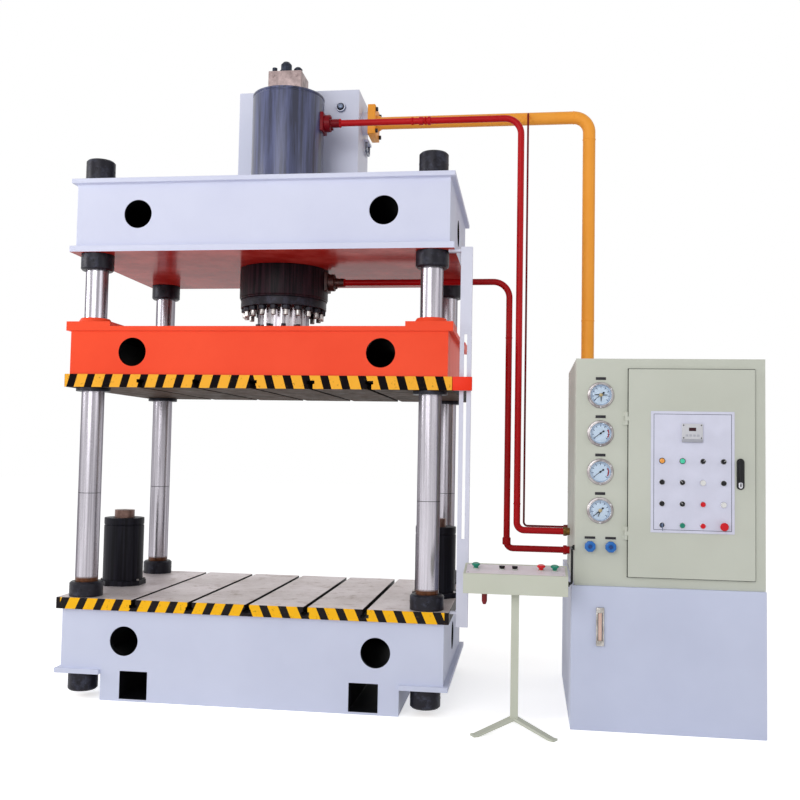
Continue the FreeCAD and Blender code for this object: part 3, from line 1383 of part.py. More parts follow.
CONSOLE_FRONT = "(console_y - console_depth / 2)"
CONSOLE_BACK = "(console_y + console_depth / 2)"
SLOPE = "atan((console_back_high - console_front_high) / console_depth)"
CONSOLE_CONTROLS = (("console_green_left", -193, "mushroom"), ("console_selector_left", -66, "selector"),
                    ("console_selector_right", -4, "selector"), ("console_red", 123, "mushroom"),
                    ("console_green_right", 188, "mushroom"))


def on_slope(name, items, at_x):
    """A group of pieces whose own Z is square to the console's sloped top, from a point on its middle line."""
    holder = group(name, items)
    place(holder, ("console_x + (%d)" % at_x, "console_y", "(console_front_high + console_back_high) / 2"),
          FreeCAD.Rotation(X_AXIS, value(SLOPE)))
    bind(holder, "Placement.Rotation.Angle", SLOPE)
    return holder


def make_console_box():
    top_low, top_high = "console_front_high", "console_back_high"
    outside = extruded("console_body", ("console_x", "0", "0"), "YZ_Plane",
                       ((CONSOLE_FRONT, "console_front_low"), (CONSOLE_BACK, "console_front_low"),
                        (CONSOLE_BACK, top_high), (CONSOLE_FRONT, top_low)), "console_width")
    inside = extruded("console_inside", ("console_x", "0", "0"), "YZ_Plane",
                      ((CONSOLE_FRONT + " + console_wall", "console_front_low + console_wall"),
                       (CONSOLE_BACK + " - console_wall", "console_front_low + console_wall"),
                       (CONSOLE_BACK + " - console_wall", top_high + " - 2 * console_wall"),
                       (CONSOLE_FRONT + " + console_wall", top_low + " - 2 * console_wall")),
                      "console_width - 2 * console_wall")
    shell = cut("console_shell", outside, [inside])
    recess = box("console_recess", ("console_cheek - console_width / 2", "console_cheek - console_depth / 2",
                                    "-console_recess"),
                 ("console_width / 2 - console_cheek", "console_depth / 2 - console_cheek", "console_cheek"))
    shallow = on_slope("console_recess_on_slope", [recess], 0)
    collars, bores = [], []
    for name, at_x, kind in CONSOLE_CONTROLS:
        collar = cylinder("collar_" + name, "console_collar_diameter", "console_collar_height + console_recess",
                          ("0", "0", "-console_recess"))
        bore = cylinder("collar_bore_" + name, "console_collar_bore", "console_collar_height * 10",
                        ("0", "0", "-console_collar_height * 5"))
        collars.append(on_slope("collar_on_slope_" + name, [collar], at_x))
        bores.append(on_slope("collar_bore_on_slope_" + name, [bore], at_x))
    plug = turned("console_plug", ("console_x + console_plug_x", "console_y", "console_front_low - console_plug_length"),
                  (("0", "0"), ("console_plug_diameter / 4", "0"), ("console_plug_diameter / 2", "console_plug_length / 4"),
                   ("console_plug_diameter / 2", "console_plug_length + console_wall"),
                   ("0", "console_plug_length + console_wall")))
    blank = fuse("console_blank", [cut("console_recessed", shell, [shallow]), plug] + collars)
    node(cut("console_box_solid", blank, bores), "console_box")


def make_console_controls():
    for name, at_x, kind in CONSOLE_CONTROLS:
        lift = "(console_travel + lever_gap)" if kind == "mushroom" else "lever_gap"
        stem, rim = "console_collar_bore / 2 - guide_clearance", "console_button_diameter / 2"
        foot = "(-2 * console_wall)"
        if kind == "mushroom":
            head = "(console_collar_height + %s)" % lift
            top = head + " + console_cap_height"
            corners = (("0", foot), (stem, foot), (stem, head), (rim, head + " + console_cap_height / 2"),
                       (rim, head + " + console_cap_height * 3 / 4"), (rim + " * 3 / 4", top), ("0", top))
        else:
            head = "(console_collar_height + console_stem_height)"
            corners = (("0", foot), (stem, foot), (stem, head), ("0", head))
        body = turned("turned_" + name, ("0", "0", "0"), corners)
        pieces = [body]
        if kind == "selector":
            pieces.append(box("bar_" + name, ("-console_bar_length / 2", "-selector_bar_width / 2", head),
                              ("console_bar_length / 2", "selector_bar_width / 2", head + " + console_bar_height")))
        solid = fuse("solid_" + name, pieces)
        node(on_slope("placed_" + name, [solid], at_x), name)


def make_console_stand():
    """A square post on three flat legs that slope to the floor."""
    half = "post_width / 2"
    post = box("stand_post", ("console_x - " + half, "console_y - " + half, "post_lift"),
               ("console_x + " + half, "console_y + " + half, "console_front_low"))
    bore = box("stand_bore", ("console_x - %s + post_wall" % half, "console_y - %s + post_wall" % half, "post_lift"),
               ("console_x + %s - post_wall" % half, "console_y + %s - post_wall" % half, "console_front_low"))
    tube = cut("stand_tube", post, [bore])
    legs = []
    for n in range(SIZES["leg_count"]):
        leg = extruded("stand_leg_%d" % n, ("0", "0", "0"), "XZ_Plane",
                       (("0", "post_lift"), ("leg_length - foot_pad * 2", "0"), ("leg_length", "0"),
                        ("leg_length", "leg_thickness"), ("leg_length - foot_pad * 1.5", "leg_thickness"),
                        ("0", "post_lift + leg_thickness * 1.6")), "leg_width")
        holder = group("stand_leg_at_%d" % n, [leg])
        legs.append(place(holder, ("console_x", "console_y", "0"), FreeCAD.Rotation(Z_AXIS, 90 + 120 * n)))
    node(fuse("console_stand_solid", [tube] + legs), "console_stand")


def make_conduit():
    """The rigid conduit from the console's end wall into the cabinet's side."""
    end = "(console_x + console_width / 2)"
    out = "(%s + conduit_reach)" % end
    tube = pipe("conduit_tube", "conduit_diameter", "conduit_wall",
                [(end, "console_y", "conduit_low"), (out, "console_y", "conduit_low"),
                 (out, "console_y", "conduit_high"), (out, "conduit_y", "conduit_high"),
                 (CABINET_SIDE, "conduit_y", "conduit_high")],
                ["conduit_bend", "conduit_bend", "conduit_bend"], open_ends=False)
    glands = [cylinder("conduit_gland_low", "conduit_gland_diameter", "conduit_gland_length",
                       (end, "console_y", "conduit_low"), X_AXIS),
              cylinder("conduit_gland_high", "conduit_gland_diameter", "conduit_gland_length",
                       ("%s - conduit_gland_length" % CABINET_SIDE, "conduit_y", "conduit_high"), X_AXIS)]
    node(fuse("conduit_solid", [tube] + glands), "console_conduit")


# ---------------------------------------------------------------------------------------------
# Build, check and write
# ---------------------------------------------------------------------------------------------


make_bed()
make_table()
make_columns()
make_column_nuts()
make_crown()
make_cylinder()
make_lock_nut()
make_gland()
make_filling_valve()
make_filler_tank()
make_pressure_pipe()
make_return_pipe()
make_pilot_pipe()
make_suction_pipe()
make_slide()
make_platen()
make_guide_bushes()
make_piston_rod()
make_trip_arm()
make_stroke_rail()
make_buffers()
make_oil_tank()
make_oil_level()
make_cabinet()
make_switchgear()
make_pump_set()
make_gauges()
make_valve_knobs()
make_door()
make_door_lever()
make_control_panel()
make_counter()
make_lamps()
make_panel_controls()
make_console_box()
make_console_controls()
make_console_stand()
make_conduit()
doc.recompute()

for item in doc.Objects:
    if "Invalid" in item.State or "Error" in item.State:
        raise RuntimeError("%s did not build: %s" % (item.Name, item.State))
for item in NODES:
    if item.Shape.isNull() or not item.Shape.isValid() or not item.Shape.Solids:
        raise RuntimeError("%s has no valid solid" % item.Label)

os.makedirs("parts", exist_ok=True)
for item in NODES:
    item.Shape.exportStep("parts/%s.step" % item.Label)
    print("%-28s %2d solids  %9.3f litres" % (item.Label, len(item.Shape.Solids), item.Shape.Volume / 1e6))
print(len(NODES), "nodes")
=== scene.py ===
"""Looks of a four-column hydraulic press, its power unit and its console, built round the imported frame."""
import math

import bmesh
import bpy
import numpy as np
from mathutils import Matrix, Vector


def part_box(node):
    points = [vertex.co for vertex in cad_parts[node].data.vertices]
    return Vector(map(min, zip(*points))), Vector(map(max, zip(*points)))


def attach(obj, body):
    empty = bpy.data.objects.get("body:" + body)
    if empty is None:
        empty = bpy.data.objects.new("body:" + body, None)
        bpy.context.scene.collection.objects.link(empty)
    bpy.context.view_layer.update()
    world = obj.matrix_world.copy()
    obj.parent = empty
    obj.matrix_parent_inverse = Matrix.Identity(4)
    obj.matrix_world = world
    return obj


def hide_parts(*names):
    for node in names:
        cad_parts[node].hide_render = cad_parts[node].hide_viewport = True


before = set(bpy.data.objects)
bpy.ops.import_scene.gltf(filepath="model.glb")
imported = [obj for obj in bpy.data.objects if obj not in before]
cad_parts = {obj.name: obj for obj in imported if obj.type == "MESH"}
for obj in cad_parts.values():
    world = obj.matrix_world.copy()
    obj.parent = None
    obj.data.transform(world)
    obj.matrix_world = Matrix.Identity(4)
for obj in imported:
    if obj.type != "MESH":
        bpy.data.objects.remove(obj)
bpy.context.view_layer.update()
scene = bpy.context.scene

# ------------------------------------------------------------------------------------------------
# Studio: a wide flat pale floor, a large soft lamp in front and weaker ones at both sides. The floor
# and the world round it show white to the camera and to bright metal, and the floor keeps shadows.
# ------------------------------------------------------------------------------------------------


def linear(hex_colour):
    """An opaque sRGB hex colour as linear values: each channel goes through the sRGB curve."""
    parts = [int(hex_colour[n:n + 2], 16) / 255 for n in (1, 3, 5)]
    return [c / 12.92 if c <= 0.04045 else ((c + 0.055) / 1.055) ** 2.4 for c in parts] + [1.0]


def add(tree, kind, sockets=None, **settings):
    """Adds a node: settings are its own properties, sockets its values or the sockets that feed it. A
    node given in place of a socket feeds its first output."""
    node = tree.nodes.new("ShaderNode" + kind)
    for name, value in settings.items():
        setattr(node, name, value)
    for name, value in (sockets or {}).items():
        if isinstance(value, bpy.types.Node):
            value = value.outputs[0]
        if isinstance(value, bpy.types.NodeSocket):
            tree.links.new(value, node.inputs[name])
        else:
            node.inputs[name].default_value = value
    return node


def maths(tree, operation, *values):
    """One step of arithmetic on values of a material, such as ADD or LESS_THAN, in the order given."""
    return add(tree, "Math", dict(enumerate(values)), operation=operation)


def blend(tree, share, first, second, **settings):
    """The colour that goes from a first to a second one as the share rises from 0 to 1."""
    first, second = (linear(tone) if isinstance(tone, str) else tone for tone in (first, second))
    return add(tree, "Mix", {"Factor": share, 6: first, 7: second}, data_type="RGBA", **settings).outputs[2]


def new_finish(name):
    """An empty material: its tree and its output node."""
    material = bpy.data.materials.new(name)
    material.use_nodes = True
    material.node_tree.nodes.clear()
    return material, material.node_tree, add(material.node_tree, "OutputMaterial")


BACKGROUND = 1.0
SKY_LEVEL = 0.46
FLOOR_GLOW = 0.60
SHEEN = 0.25    # how much of the usual mirror reflection dull shop paint keeps
FLOOR_SIZE = 60.0

world = bpy.data.worlds.new("studio")
scene.world = world
world.use_nodes = True
sky = world.node_tree
sky.nodes.clear()
ray = add(sky, "LightPath")
seen = maths(sky, "MAXIMUM", ray.outputs["Is Camera Ray"], ray.outputs["Is Glossy Ray"])
seen = maths(sky, "MAXIMUM", seen, ray.outputs["Is Transmission Ray"])
level = add(sky, "Mix", {"Factor": seen, 2: SKY_LEVEL, 3: BACKGROUND}, data_type="FLOAT")
shine = add(sky, "Background", {"Color": linear("#ffffff"), "Strength": level})
add(sky, "OutputWorld", {"Surface": shine})

floor_mesh = bpy.data.meshes.new("floor")
half_floor = FLOOR_SIZE / 2
floor_mesh.from_pydata(
    [
        (-half_floor, -half_floor, 0), (half_floor, -half_floor, 0), (half_floor, half_floor, 0),
        (-half_floor, half_floor, 0)],
    [], [(0, 1, 2, 3)])
floor = bpy.data.objects.new("floor", floor_mesh)
scene.collection.objects.link(floor)
floor_paint, tree, output = new_finish("floor_paint")
ray = add(tree, "LightPath")
seen = maths(tree, "MAXIMUM", ray.outputs["Is Camera Ray"], ray.outputs["Is Glossy Ray"])
seen = maths(tree, "MAXIMUM", seen, ray.outputs["Is Transmission Ray"])
matt = add(tree, "BsdfDiffuse", {"Color": linear("#f4f4f4")})
glow = add(tree, "Emission", {"Color": linear("#ffffff"), "Strength": FLOOR_GLOW})
both = add(tree, "AddShader", {0: matt, 1: glow})
pale = add(tree, "MixShader", {"Fac": seen, 1: matt, 2: both})
tree.links.new(pale.outputs[0], output.inputs["Surface"])
floor_mesh.materials.append(floor_paint)


def soft_lamp(name, place, target, size, power):
    """A square lamp of a given size and power, turned from its place towards a target."""
    data = bpy.data.lights.new(name, "AREA")
    data.shape = "SQUARE"
    data.size = size
    data.energy = power
    lamp = bpy.data.objects.new(name, data)
    scene.collection.objects.link(lamp)
    lamp.location = place
    lamp.rotation_euler = (Vector(target) - Vector(place)).to_track_quat("-Z", "Y").to_euler()


soft_lamp("front_lamp", (-1.4, -8.4, 4.0), (0.4, 0.0, 1.4), 5.0, 265)
soft_lamp("left_lamp", (-6.4, -2.2, 3.4), (0.0, 0.0, 1.8), 2.0, 150)
soft_lamp("right_lamp", (6.5, -4.0, 3.6), (1.0, 0.0, 1.4), 3.0, 45)

# Camera: 1.35 m above the floor and to the right of the ram, turned a little left and tilted up.
EYE = Vector((1.4366, -5.3762, 1.3471))
TURN_LEFT, TILT_UP, LEAN = (math.radians(a) for a in (7.784, 3.082, 1.041))
LENS = 42.386

forward = Vector((-math.sin(TURN_LEFT) * math.cos(TILT_UP), math.cos(TURN_LEFT) * math.cos(TILT_UP),
                  math.sin(TILT_UP)))
level_right = Vector((math.cos(TURN_LEFT), math.sin(TURN_LEFT), 0))
level_up = level_right.cross(forward)
right = math.cos(LEAN) * level_right + math.sin(LEAN) * level_up
up = math.cos(LEAN) * level_up - math.sin(LEAN) * level_right
camera = bpy.data.objects.new("camera", bpy.data.cameras.new("camera"))
camera.data.lens = LENS
camera.matrix_world = Matrix((right, up, -forward)).transposed().to_4x4()
camera.location = EYE
scene.collection.objects.link(camera)
scene.camera = camera
scene.view_settings.view_transform = "Standard"

# ------------------------------------------------------------------------------------------------
# Bed: welded box of 30 mm plate on a narrower foot, with two fork pockets and round access holes.
# Sprayed with a pale grey-lilac machine enamel that runs over the weld seams; its inside is painted
# near black, as painted shade.
# ------------------------------------------------------------------------------------------------

MM = 0.001
MERGE_DISTANCE = 2e-6
FLAT_ANGLE, GROUND_ANGLE, SHARP_ANGLE = (math.radians(a) for a in (0.6, 35, 60))


def inside_box(tree, axes, low, high):
    """A value that is 1 inside an upright box and 0 outside it: the product of one test per axis, that
    the distance from the box's middle is less than half its size."""
    keep = None
    for axis, start, end in zip("XYZ", low, high):
        gap = maths(tree, "SUBTRACT", axes.outputs[axis], (start + end) / 2)
        gap = maths(tree, "ABSOLUTE", gap)
        within = maths(tree, "LESS_THAN", gap, (end - start) / 2)
        keep = within if keep is None else maths(tree, "MULTIPLY", keep, within)
    return keep


def sprayed_enamel(name, colour, shade, roughness, shaded_insides=(), underside=None, sheen=SHEEN):
    """Machine enamel sprayed on steel plate: soft gloss, fine orange peel, and faint clouds of thinner and
    thicker coat. Inside the given boxes (low, high corner) it is painted near black, as painted shade. Below
    a height, an underside has its own two tones and a wetter gloss. The sheen is how much it mirrors."""
    material, tree, output = new_finish(name)
    place = add(tree, "TexCoord").outputs["Object"]
    clouds = add(tree, "TexNoise", {"Vector": place, "Scale": 2.2, "Detail": 3.0, "Roughness": 0.55})
    peel = add(tree, "TexNoise", {"Vector": place, "Scale": 330.0, "Detail": 1.0})
    amount = add(tree, "MapRange", {"Value": clouds, "From Min": 0.35, "From Max": 0.72,
                                    "To Max": 0.75})
    colour_out = blend(tree, amount, colour, shade)
    gloss = add(tree, "MapRange", {"Value": clouds, "To Min": roughness - 0.06,
                                   "To Max": roughness + 0.10})
    gloss_out = gloss.outputs[0]
    axes = add(tree, "SeparateXYZ", {"Vector": place})
    if underside is not None:
        below, deep, dusty, wet = underside
        under = maths(tree, "LESS_THAN", axes.outputs["Z"], below)
        grime = add(tree, "TexNoise", {"Vector": place, "Scale": 5.0, "Detail": 5.0})
        share = add(tree, "MapRange", {"Value": grime, "From Min": 0.42, "From Max": 0.66})
        primer = blend(tree, share, deep, dusty)
        colour_out = blend(tree, under, colour_out, primer)
        gloss_out = add(tree, "Mix", {"Factor": under, 2: gloss_out, 3: wet}, data_type="FLOAT").outputs[0]
    # Painted shade: inside each box the colour goes near black.
    for low, high in shaded_insides:
        colour_out = blend(tree, inside_box(tree, axes, low, high), colour_out, "#0b0b0f")
    bump = add(tree, "Bump", {"Height": peel, "Strength": 0.06, "Distance": 0.0004})
    shader = add(tree, "BsdfPrincipled", {"Base Color": colour_out, "Roughness": gloss_out,
                                          "Normal": bump, "Specular IOR Level": sheen})
    tree.links.new(shader.outputs[0], output.inputs["Surface"])
    return material


def grid_faces(rows, columns, round_rows, round_columns):
    """Quads over a grid of points, closed round either way where asked."""
    i, j = np.meshgrid(np.arange(rows if round_rows else rows - 1),
                       np.arange(columns if round_columns else columns - 1), indexing="ij")
    i_next, j_next = (i + 1) % rows, (j + 1) % columns
    return np.stack([i * columns + j, i_next * columns + j, i_next * columns + j_next, i * columns + j_next],
                    -1).reshape(-1, 4)


def skin(points, round_rows=True, round_columns=False, capped=True):
    """(points, faces) of a surface: points[i, j] goes round with i and along with j; ends get flat caps."""
    rows, columns = points.shape[:2]
    faces = grid_faces(rows, columns, round_rows, round_columns).tolist()
    if capped and not round_columns:
        faces += [list(range(0, rows * columns, columns)), list(range(columns - 1, rows * columns, columns))]
    return points.reshape(-1, 3), faces


def piece(name, shapes, body, finish, sharp=32):
    """One object from several (points, faces) shapes in millimetres. It rides on a CAD body."""
    points, faces, start = [], [], 0
    for shape_points, shape_faces in shapes:
        points.append(np.asarray(shape_points, float) * MM)
        faces += [[start + index for index in face] for face in shape_faces]
        start += len(shape_points)
    mesh = bpy.data.meshes.new(name)
    mesh.from_pydata(np.concatenate(points).tolist(), [], faces)
    tidy = bmesh.new()
    tidy.from_mesh(mesh)
    bmesh.ops.remove_doubles(tidy, verts=tidy.verts, dist=MERGE_DISTANCE)
    bmesh.ops.recalc_face_normals(tidy, faces=tidy.faces)
    tidy.to_mesh(mesh)
    tidy.free()
    mesh.shade_smooth()
    mesh.set_sharp_from_angle(angle=math.radians(sharp))
    made = bpy.data.objects.new(name, mesh)
    scene.collection.objects.link(made)
    mesh.materials.append(finish)
    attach(made, body)
    return made


def eased_copy(node, body, finish, width, steps=2):
    """A CAD node's plates with their edges ground off: the mesh is merged, and each edge of over 35
    degrees gets a small rounding of the given width in millimetres."""
    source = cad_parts[node]
    mesh = source.data.copy()
    mesh.name = node + "_eased"
    mesh.materials.clear()
    tidy = bmesh.new()
    tidy.from_mesh(mesh)
    bmesh.ops.remove_doubles(tidy, verts=tidy.verts, dist=MERGE_DISTANCE)
    bmesh.ops.dissolve_limit(tidy, angle_limit=FLAT_ANGLE, verts=tidy.verts, edges=tidy.edges)
    tidy.to_mesh(mesh)
    tidy.free()
    mesh.shade_smooth()
    made = bpy.data.objects.new(node + "_eased", mesh)
    scene.collection.objects.link(made)
    mesh.materials.append(finish)
    bevel = made.modifiers.new("ground_edges", "BEVEL")
    bevel.width = width * MM
    bevel.segments = steps
    bevel.limit_method = "ANGLE"
    bevel.angle_limit = GROUND_ANGLE
    bevel.use_clamp_overlap = True
    mesh.set_sharp_from_angle(angle=SHARP_ANGLE)
    level = made.modifiers.new("level_faces", "WEIGHTED_NORMAL")
    level.keep_sharp = True
    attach(made, body)
    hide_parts(node)


bed_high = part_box("bed")[1]
plate_x, plate_y = bed_high.x, bed_high.y
WEB_INSET, SLIDE_INSET, SKIN = 0.025, 0.008, 0.0015
FOOT_TOP, POCKET_END = 0.137, 0.693
FOOT_FLOOR, BED_FLOOR, CORNER_PLATE, BED_ROOF = 0.010, 0.024, 0.025, 0.038


def painted_shade_box(low, high, reach_x=plate_x - WEB_INSET - SKIN, reach_y=plate_y - WEB_INSET - SKIN):
    """The box of a welded body's inside, painted dark as shade, from just under the outer faces of its side
    plates.
    """
    return (-reach_x, -reach_y, low), (reach_x, reach_y, high)


bed_enamel = sprayed_enamel("bed_enamel", "#cdd2e7", "#c4c9df", 0.42,
                            shaded_insides=(painted_shade_box(FOOT_TOP + BED_FLOOR, bed_high.z - BED_ROOF),
                                     painted_shade_box(FOOT_FLOOR, FOOT_TOP + CORNER_PLATE, POCKET_END)))
eased_copy("bed", "press", bed_enamel, 2.5)

# ------------------------------------------------------------------------------------------------
# Table: a 60 mm machined steel plate with five T-slots, worn and stained on top, its edges painted
# black with slanting yellow stripes that lean towards the middle from both sides.
# ------------------------------------------------------------------------------------------------

STRIPE_SHARE, EDGE = 0.572, 0.0016


def striped_plate(name, low, high, stripes, yellow_paint, tones, metallic, black_end, sheen=0.1):
    """Milled steel whose front edge has painted stripes (pitch, lean, start and middle in metres). Milling
    leaves fine lines across the plate, and coolant and hands leave brown stains and paler rubbed patches.
    The walls of its slots and holes are painted near black, as painted shade."""
    pitch, lean, start, middle = stripes
    bright, dull, stain = tones
    material, tree, output = new_finish(name)
    place = add(tree, "TexCoord").outputs["Object"]
    axes = add(tree, "SeparateXYZ", {"Vector": place})
    lines = add(tree, "Mapping", {"Vector": place, "Scale": (1.0, 26.0, 1.0)})
    lines = add(tree, "TexNoise", {"Vector": lines, "Scale": 26.0, "Detail": 6.0, "Roughness": 0.7})
    clouds = add(tree, "TexNoise", {"Vector": place, "Scale": 2.3, "Detail": 7.0, "Roughness": 0.62})
    spots = add(tree, "TexNoise", {"Vector": place, "Scale": 14.0, "Detail": 6.0, "Roughness": 0.7})
    rubbed = add(tree, "MapRange", {"Value": clouds, "From Min": 0.36, "From Max": 0.64})
    steel = blend(tree, rubbed, dull, bright)
    marked = add(tree, "MapRange", {"Value": spots, "From Min": 0.54, "From Max": 0.72,
                                    "To Max": 0.7})
    steel = blend(tree, marked, steel, stain)
    streaks = add(tree, "MapRange", {"Value": lines, "From Min": 0.3, "From Max": 0.7,
                                     "To Min": 0.78, "To Max": 1.12})
    steel = blend(tree, 1.0, steel, streaks, blend_type="MULTIPLY")
    # Stripes: distance from the middle plus a share of the height, counted in pitches.
    aside = maths(tree, "SUBTRACT", axes.outputs["X"], middle)
    aside = maths(tree, "ABSOLUTE", aside)
    along = maths(tree, "MULTIPLY_ADD", axes.outputs["Z"], lean, aside)
    along = maths(tree, "SUBTRACT", along, start)
    along = maths(tree, "DIVIDE", along, pitch)
    along = maths(tree, "FRACT", along)
    yellow = maths(tree, "LESS_THAN", along, STRIPE_SHARE)
    aside = maths(tree, "ABSOLUTE", axes.outputs["X"])
    inward = maths(tree, "LESS_THAN", aside, plate_x - black_end)
    yellow = maths(tree, "MULTIPLY", yellow, inward)
    scuffs = add(tree, "TexNoise", {"Vector": place, "Scale": 60.0, "Detail": 4.0, "Roughness": 0.7})
    worn = add(tree, "MapRange", {"Value": scuffs, "From Min": 0.60, "From Max": 0.74, "To Max": 0.8})
    paint = blend(tree, yellow, "#161214", yellow_paint)
    paint = blend(tree, worn, paint, "#4a3a22")
    ahead = maths(tree, "LESS_THAN", axes.outputs["Y"], low.y + EDGE)
    astride = maths(tree, "GREATER_THAN", aside, plate_x - EDGE)
    # Painted shade: inside the plate's outer faces, in its slots and holes, the steel goes near black.
    shaded_slots = inside_box(tree, axes, [c + EDGE for c in low], [c - EDGE for c in high])
    steel = blend(tree, shaded_slots, steel, "#1b1614")
    painted = maths(tree, "MAXIMUM", ahead, astride)
    colour = blend(tree, painted, steel, paint)
    metal = add(tree, "MapRange", {"Value": painted, "To Min": metallic, "To Max": 0.0})
    rough = add(tree, "MapRange", {"Value": spots, "From Min": 0.3, "From Max": 0.7,
                                   "To Min": 0.36, "To Max": 0.62})
    bump = add(tree, "Bump", {"Height": lines, "Strength": 0.18, "Distance": 0.0008})
    shader = add(tree, "BsdfPrincipled", {"Base Color": colour, "Metallic": metal,
                                          "Roughness": rough, "Normal": bump,
                                          "Specular IOR Level": sheen})
    tree.links.new(shader.outputs[0], output.inputs["Surface"])
    return material


table_low, table_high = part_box("table_plate")
table_steel = striped_plate(
    "milled_table_steel", table_low, table_high, (0.1003, 0.45, 0.0503, -0.003), "#f8b91d",
    ("#e6dcde", "#d2c7c6", "#a39085"), 0.6, 0.022)
eased_copy("table_plate", "press", table_steel, 1.5)

# ------------------------------------------------------------------------------------------------
# Columns: 120 mm ground and hard-chromed bars, with faint long grinding marks, a thin turned ring
# below the middle and a rust-brown band just above the table nuts where the plating ends.
# ------------------------------------------------------------------------------------------------


def eased_profile(corners, radius, steps=4):
    """A lathe profile with each inner corner rounded: a quadratic curve that is tangent to both sides,
    with the corner as its handle, starting at the radius over the tangent of half the corner's angle."""
    corners = [np.array(corner, float) for corner in corners]
    out = [corners[0]]
    for before, corner, after in zip(corners, corners[1:], corners[2:]):
        back, ahead = before - corner, after - corner
        size_back, size_ahead = np.linalg.norm(back), np.linalg.norm(ahead)
        back, ahead = back / size_back, ahead / size_ahead
        half = math.acos(float(np.clip(back @ ahead, -1, 1))) / 2
        if half > 1.5 or half < 0.02:
            out.append(corner)
            continue
        trim = min(radius / math.tan(half), 0.45 * size_back, 0.45 * size_ahead)
        start, end = corner + back * trim, corner + ahead * trim
        share = np.linspace(0, 1, steps + 1)[:, None]
        out += list((1 - share) ** 2 * start + 2 * share * (1 - share) * corner + share ** 2 * end)
    out.append(corners[-1])
    return np.array(out)


def axes_for(direction):
    """Two unit vectors square to a direction and to each other."""
    direction = np.array(direction, float)
    helper = np.array((0.0, 0.0, 1.0)) if abs(direction[2]) < 0.9 else np.array((1.0, 0.0, 0.0))
    across = np.cross(helper, direction)
    across /= np.linalg.norm(across)
    return across, np.cross(direction, across), direction


def turned(profile, at, direction=(0, 0, 1), around=72, closed=False):
    """Surface of revolution: each (radius, height) of the profile goes round the axis in even steps."""
    profile = np.asarray(profile, float)
    across, other, along = axes_for(direction)
    angle = np.linspace(0, 2 * np.pi, around, endpoint=False)[:, None, None]
    ring = np.cos(angle) * across + np.sin(angle) * other
    points = np.array(at, float) + profile[None, :, :1] * ring + profile[None, :, 1:] * along
    return skin(points, True, closed, capped=False)


def chromed_bar(name, dull, bright, rust_top=None, ring=None):
    """Hard chrome on ground steel: long soft streaks and a darker rim, with a rusty foot up to a height
    and a thin turned ring at another."""
    material, tree, output = new_finish(name)
    place = add(tree, "TexCoord").outputs["Object"]
    height = add(tree, "SeparateXYZ", {"Vector": place}).outputs["Z"]
    long_marks = add(tree, "Mapping", {"Vector": place, "Scale": (55.0, 55.0, 0.7)})
    long_marks = add(tree, "TexNoise", {"Vector": long_marks, "Scale": 1.0, "Detail": 4.0,
                                        "Roughness": 0.6})
    fine = add(tree, "Mapping", {"Vector": place, "Scale": (320.0, 320.0, 3.0)})
    fine = add(tree, "TexNoise", {"Vector": fine, "Scale": 1.0, "Detail": 3.0})
    streak = add(tree, "MapRange", {"Value": long_marks, "From Min": 0.36, "From Max": 0.62})
    colour, metal = blend(tree, streak, dull, bright), 0.92
    if rust_top is not None:
        clouds = add(tree, "TexNoise", {"Vector": place, "Scale": 40.0, "Detail": 5.0})
        foot = add(tree, "MapRange", {"Value": height, "From Min": rust_top - 0.012, "From Max": rust_top,
                                      "To Min": 1.0, "To Max": 0.0}).outputs[0]
        rust = blend(tree, clouds, "#22150f", "#7d4f34")
        colour = blend(tree, foot, colour, rust)
        metal = add(tree, "MapRange", {"Value": foot, "To Min": metal, "To Max": 0.2}).outputs[0]
    if ring is not None:
        groove = maths(tree, "SUBTRACT", height, ring)
        groove = maths(tree, "ABSOLUTE", groove)
        groove = maths(tree, "LESS_THAN", groove, 0.0016)
        colour = blend(tree, groove, colour, "#3c3a40")
    rough = add(tree, "MapRange", {"Value": fine, "From Min": 0.3, "From Max": 0.7,
                                   "To Min": 0.16, "To Max": 0.34})
    bump = add(tree, "Bump", {"Height": fine, "Strength": 0.10, "Distance": 0.0003})
    shader = add(tree, "BsdfPrincipled", {"Base Color": colour, "Metallic": metal, "Roughness": rough,
                                          "Specular Tint": linear("#6f6c74"), "Normal": bump})
    tree.links.new(shader.outputs[0], output.inputs["Surface"])
    return material


COLUMN_RADIUS, TABLE_NUT, RUST_RISE, RING_HEIGHT = 60, 0.078, 0.030, 1.089
column_low, column_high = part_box("columns")
column_centres = [(sx * (column_high.x / MM - COLUMN_RADIUS), sy * (column_high.y / MM - COLUMN_RADIUS))
                  for sx in (-1, 1) for sy in (-1, 1)]
column_chrome = chromed_bar(
    "hard_chrome", "#8f8b92", "#bdb9c1", table_high.z + TABLE_NUT + RUST_RISE, RING_HEIGHT)
column_profile = eased_profile([(0, column_low.z / MM), (COLUMN_RADIUS, column_low.z / MM),
                                (COLUMN_RADIUS, column_high.z / MM), (0, column_high.z / MM)], 4)
columns = piece("ground_columns", [turned(column_profile, (x, y, 0)) for x, y in column_centres], "press",
                column_chrome)
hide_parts("columns")

# ------------------------------------------------------------------------------------------------
# Column nuts: turned from bar, blackened in hot oil, with broken edges and blind holes for the pin
# of a hook spanner. A nut above and below clamps the bed with its table, and the crown.
# ------------------------------------------------------------------------------------------------


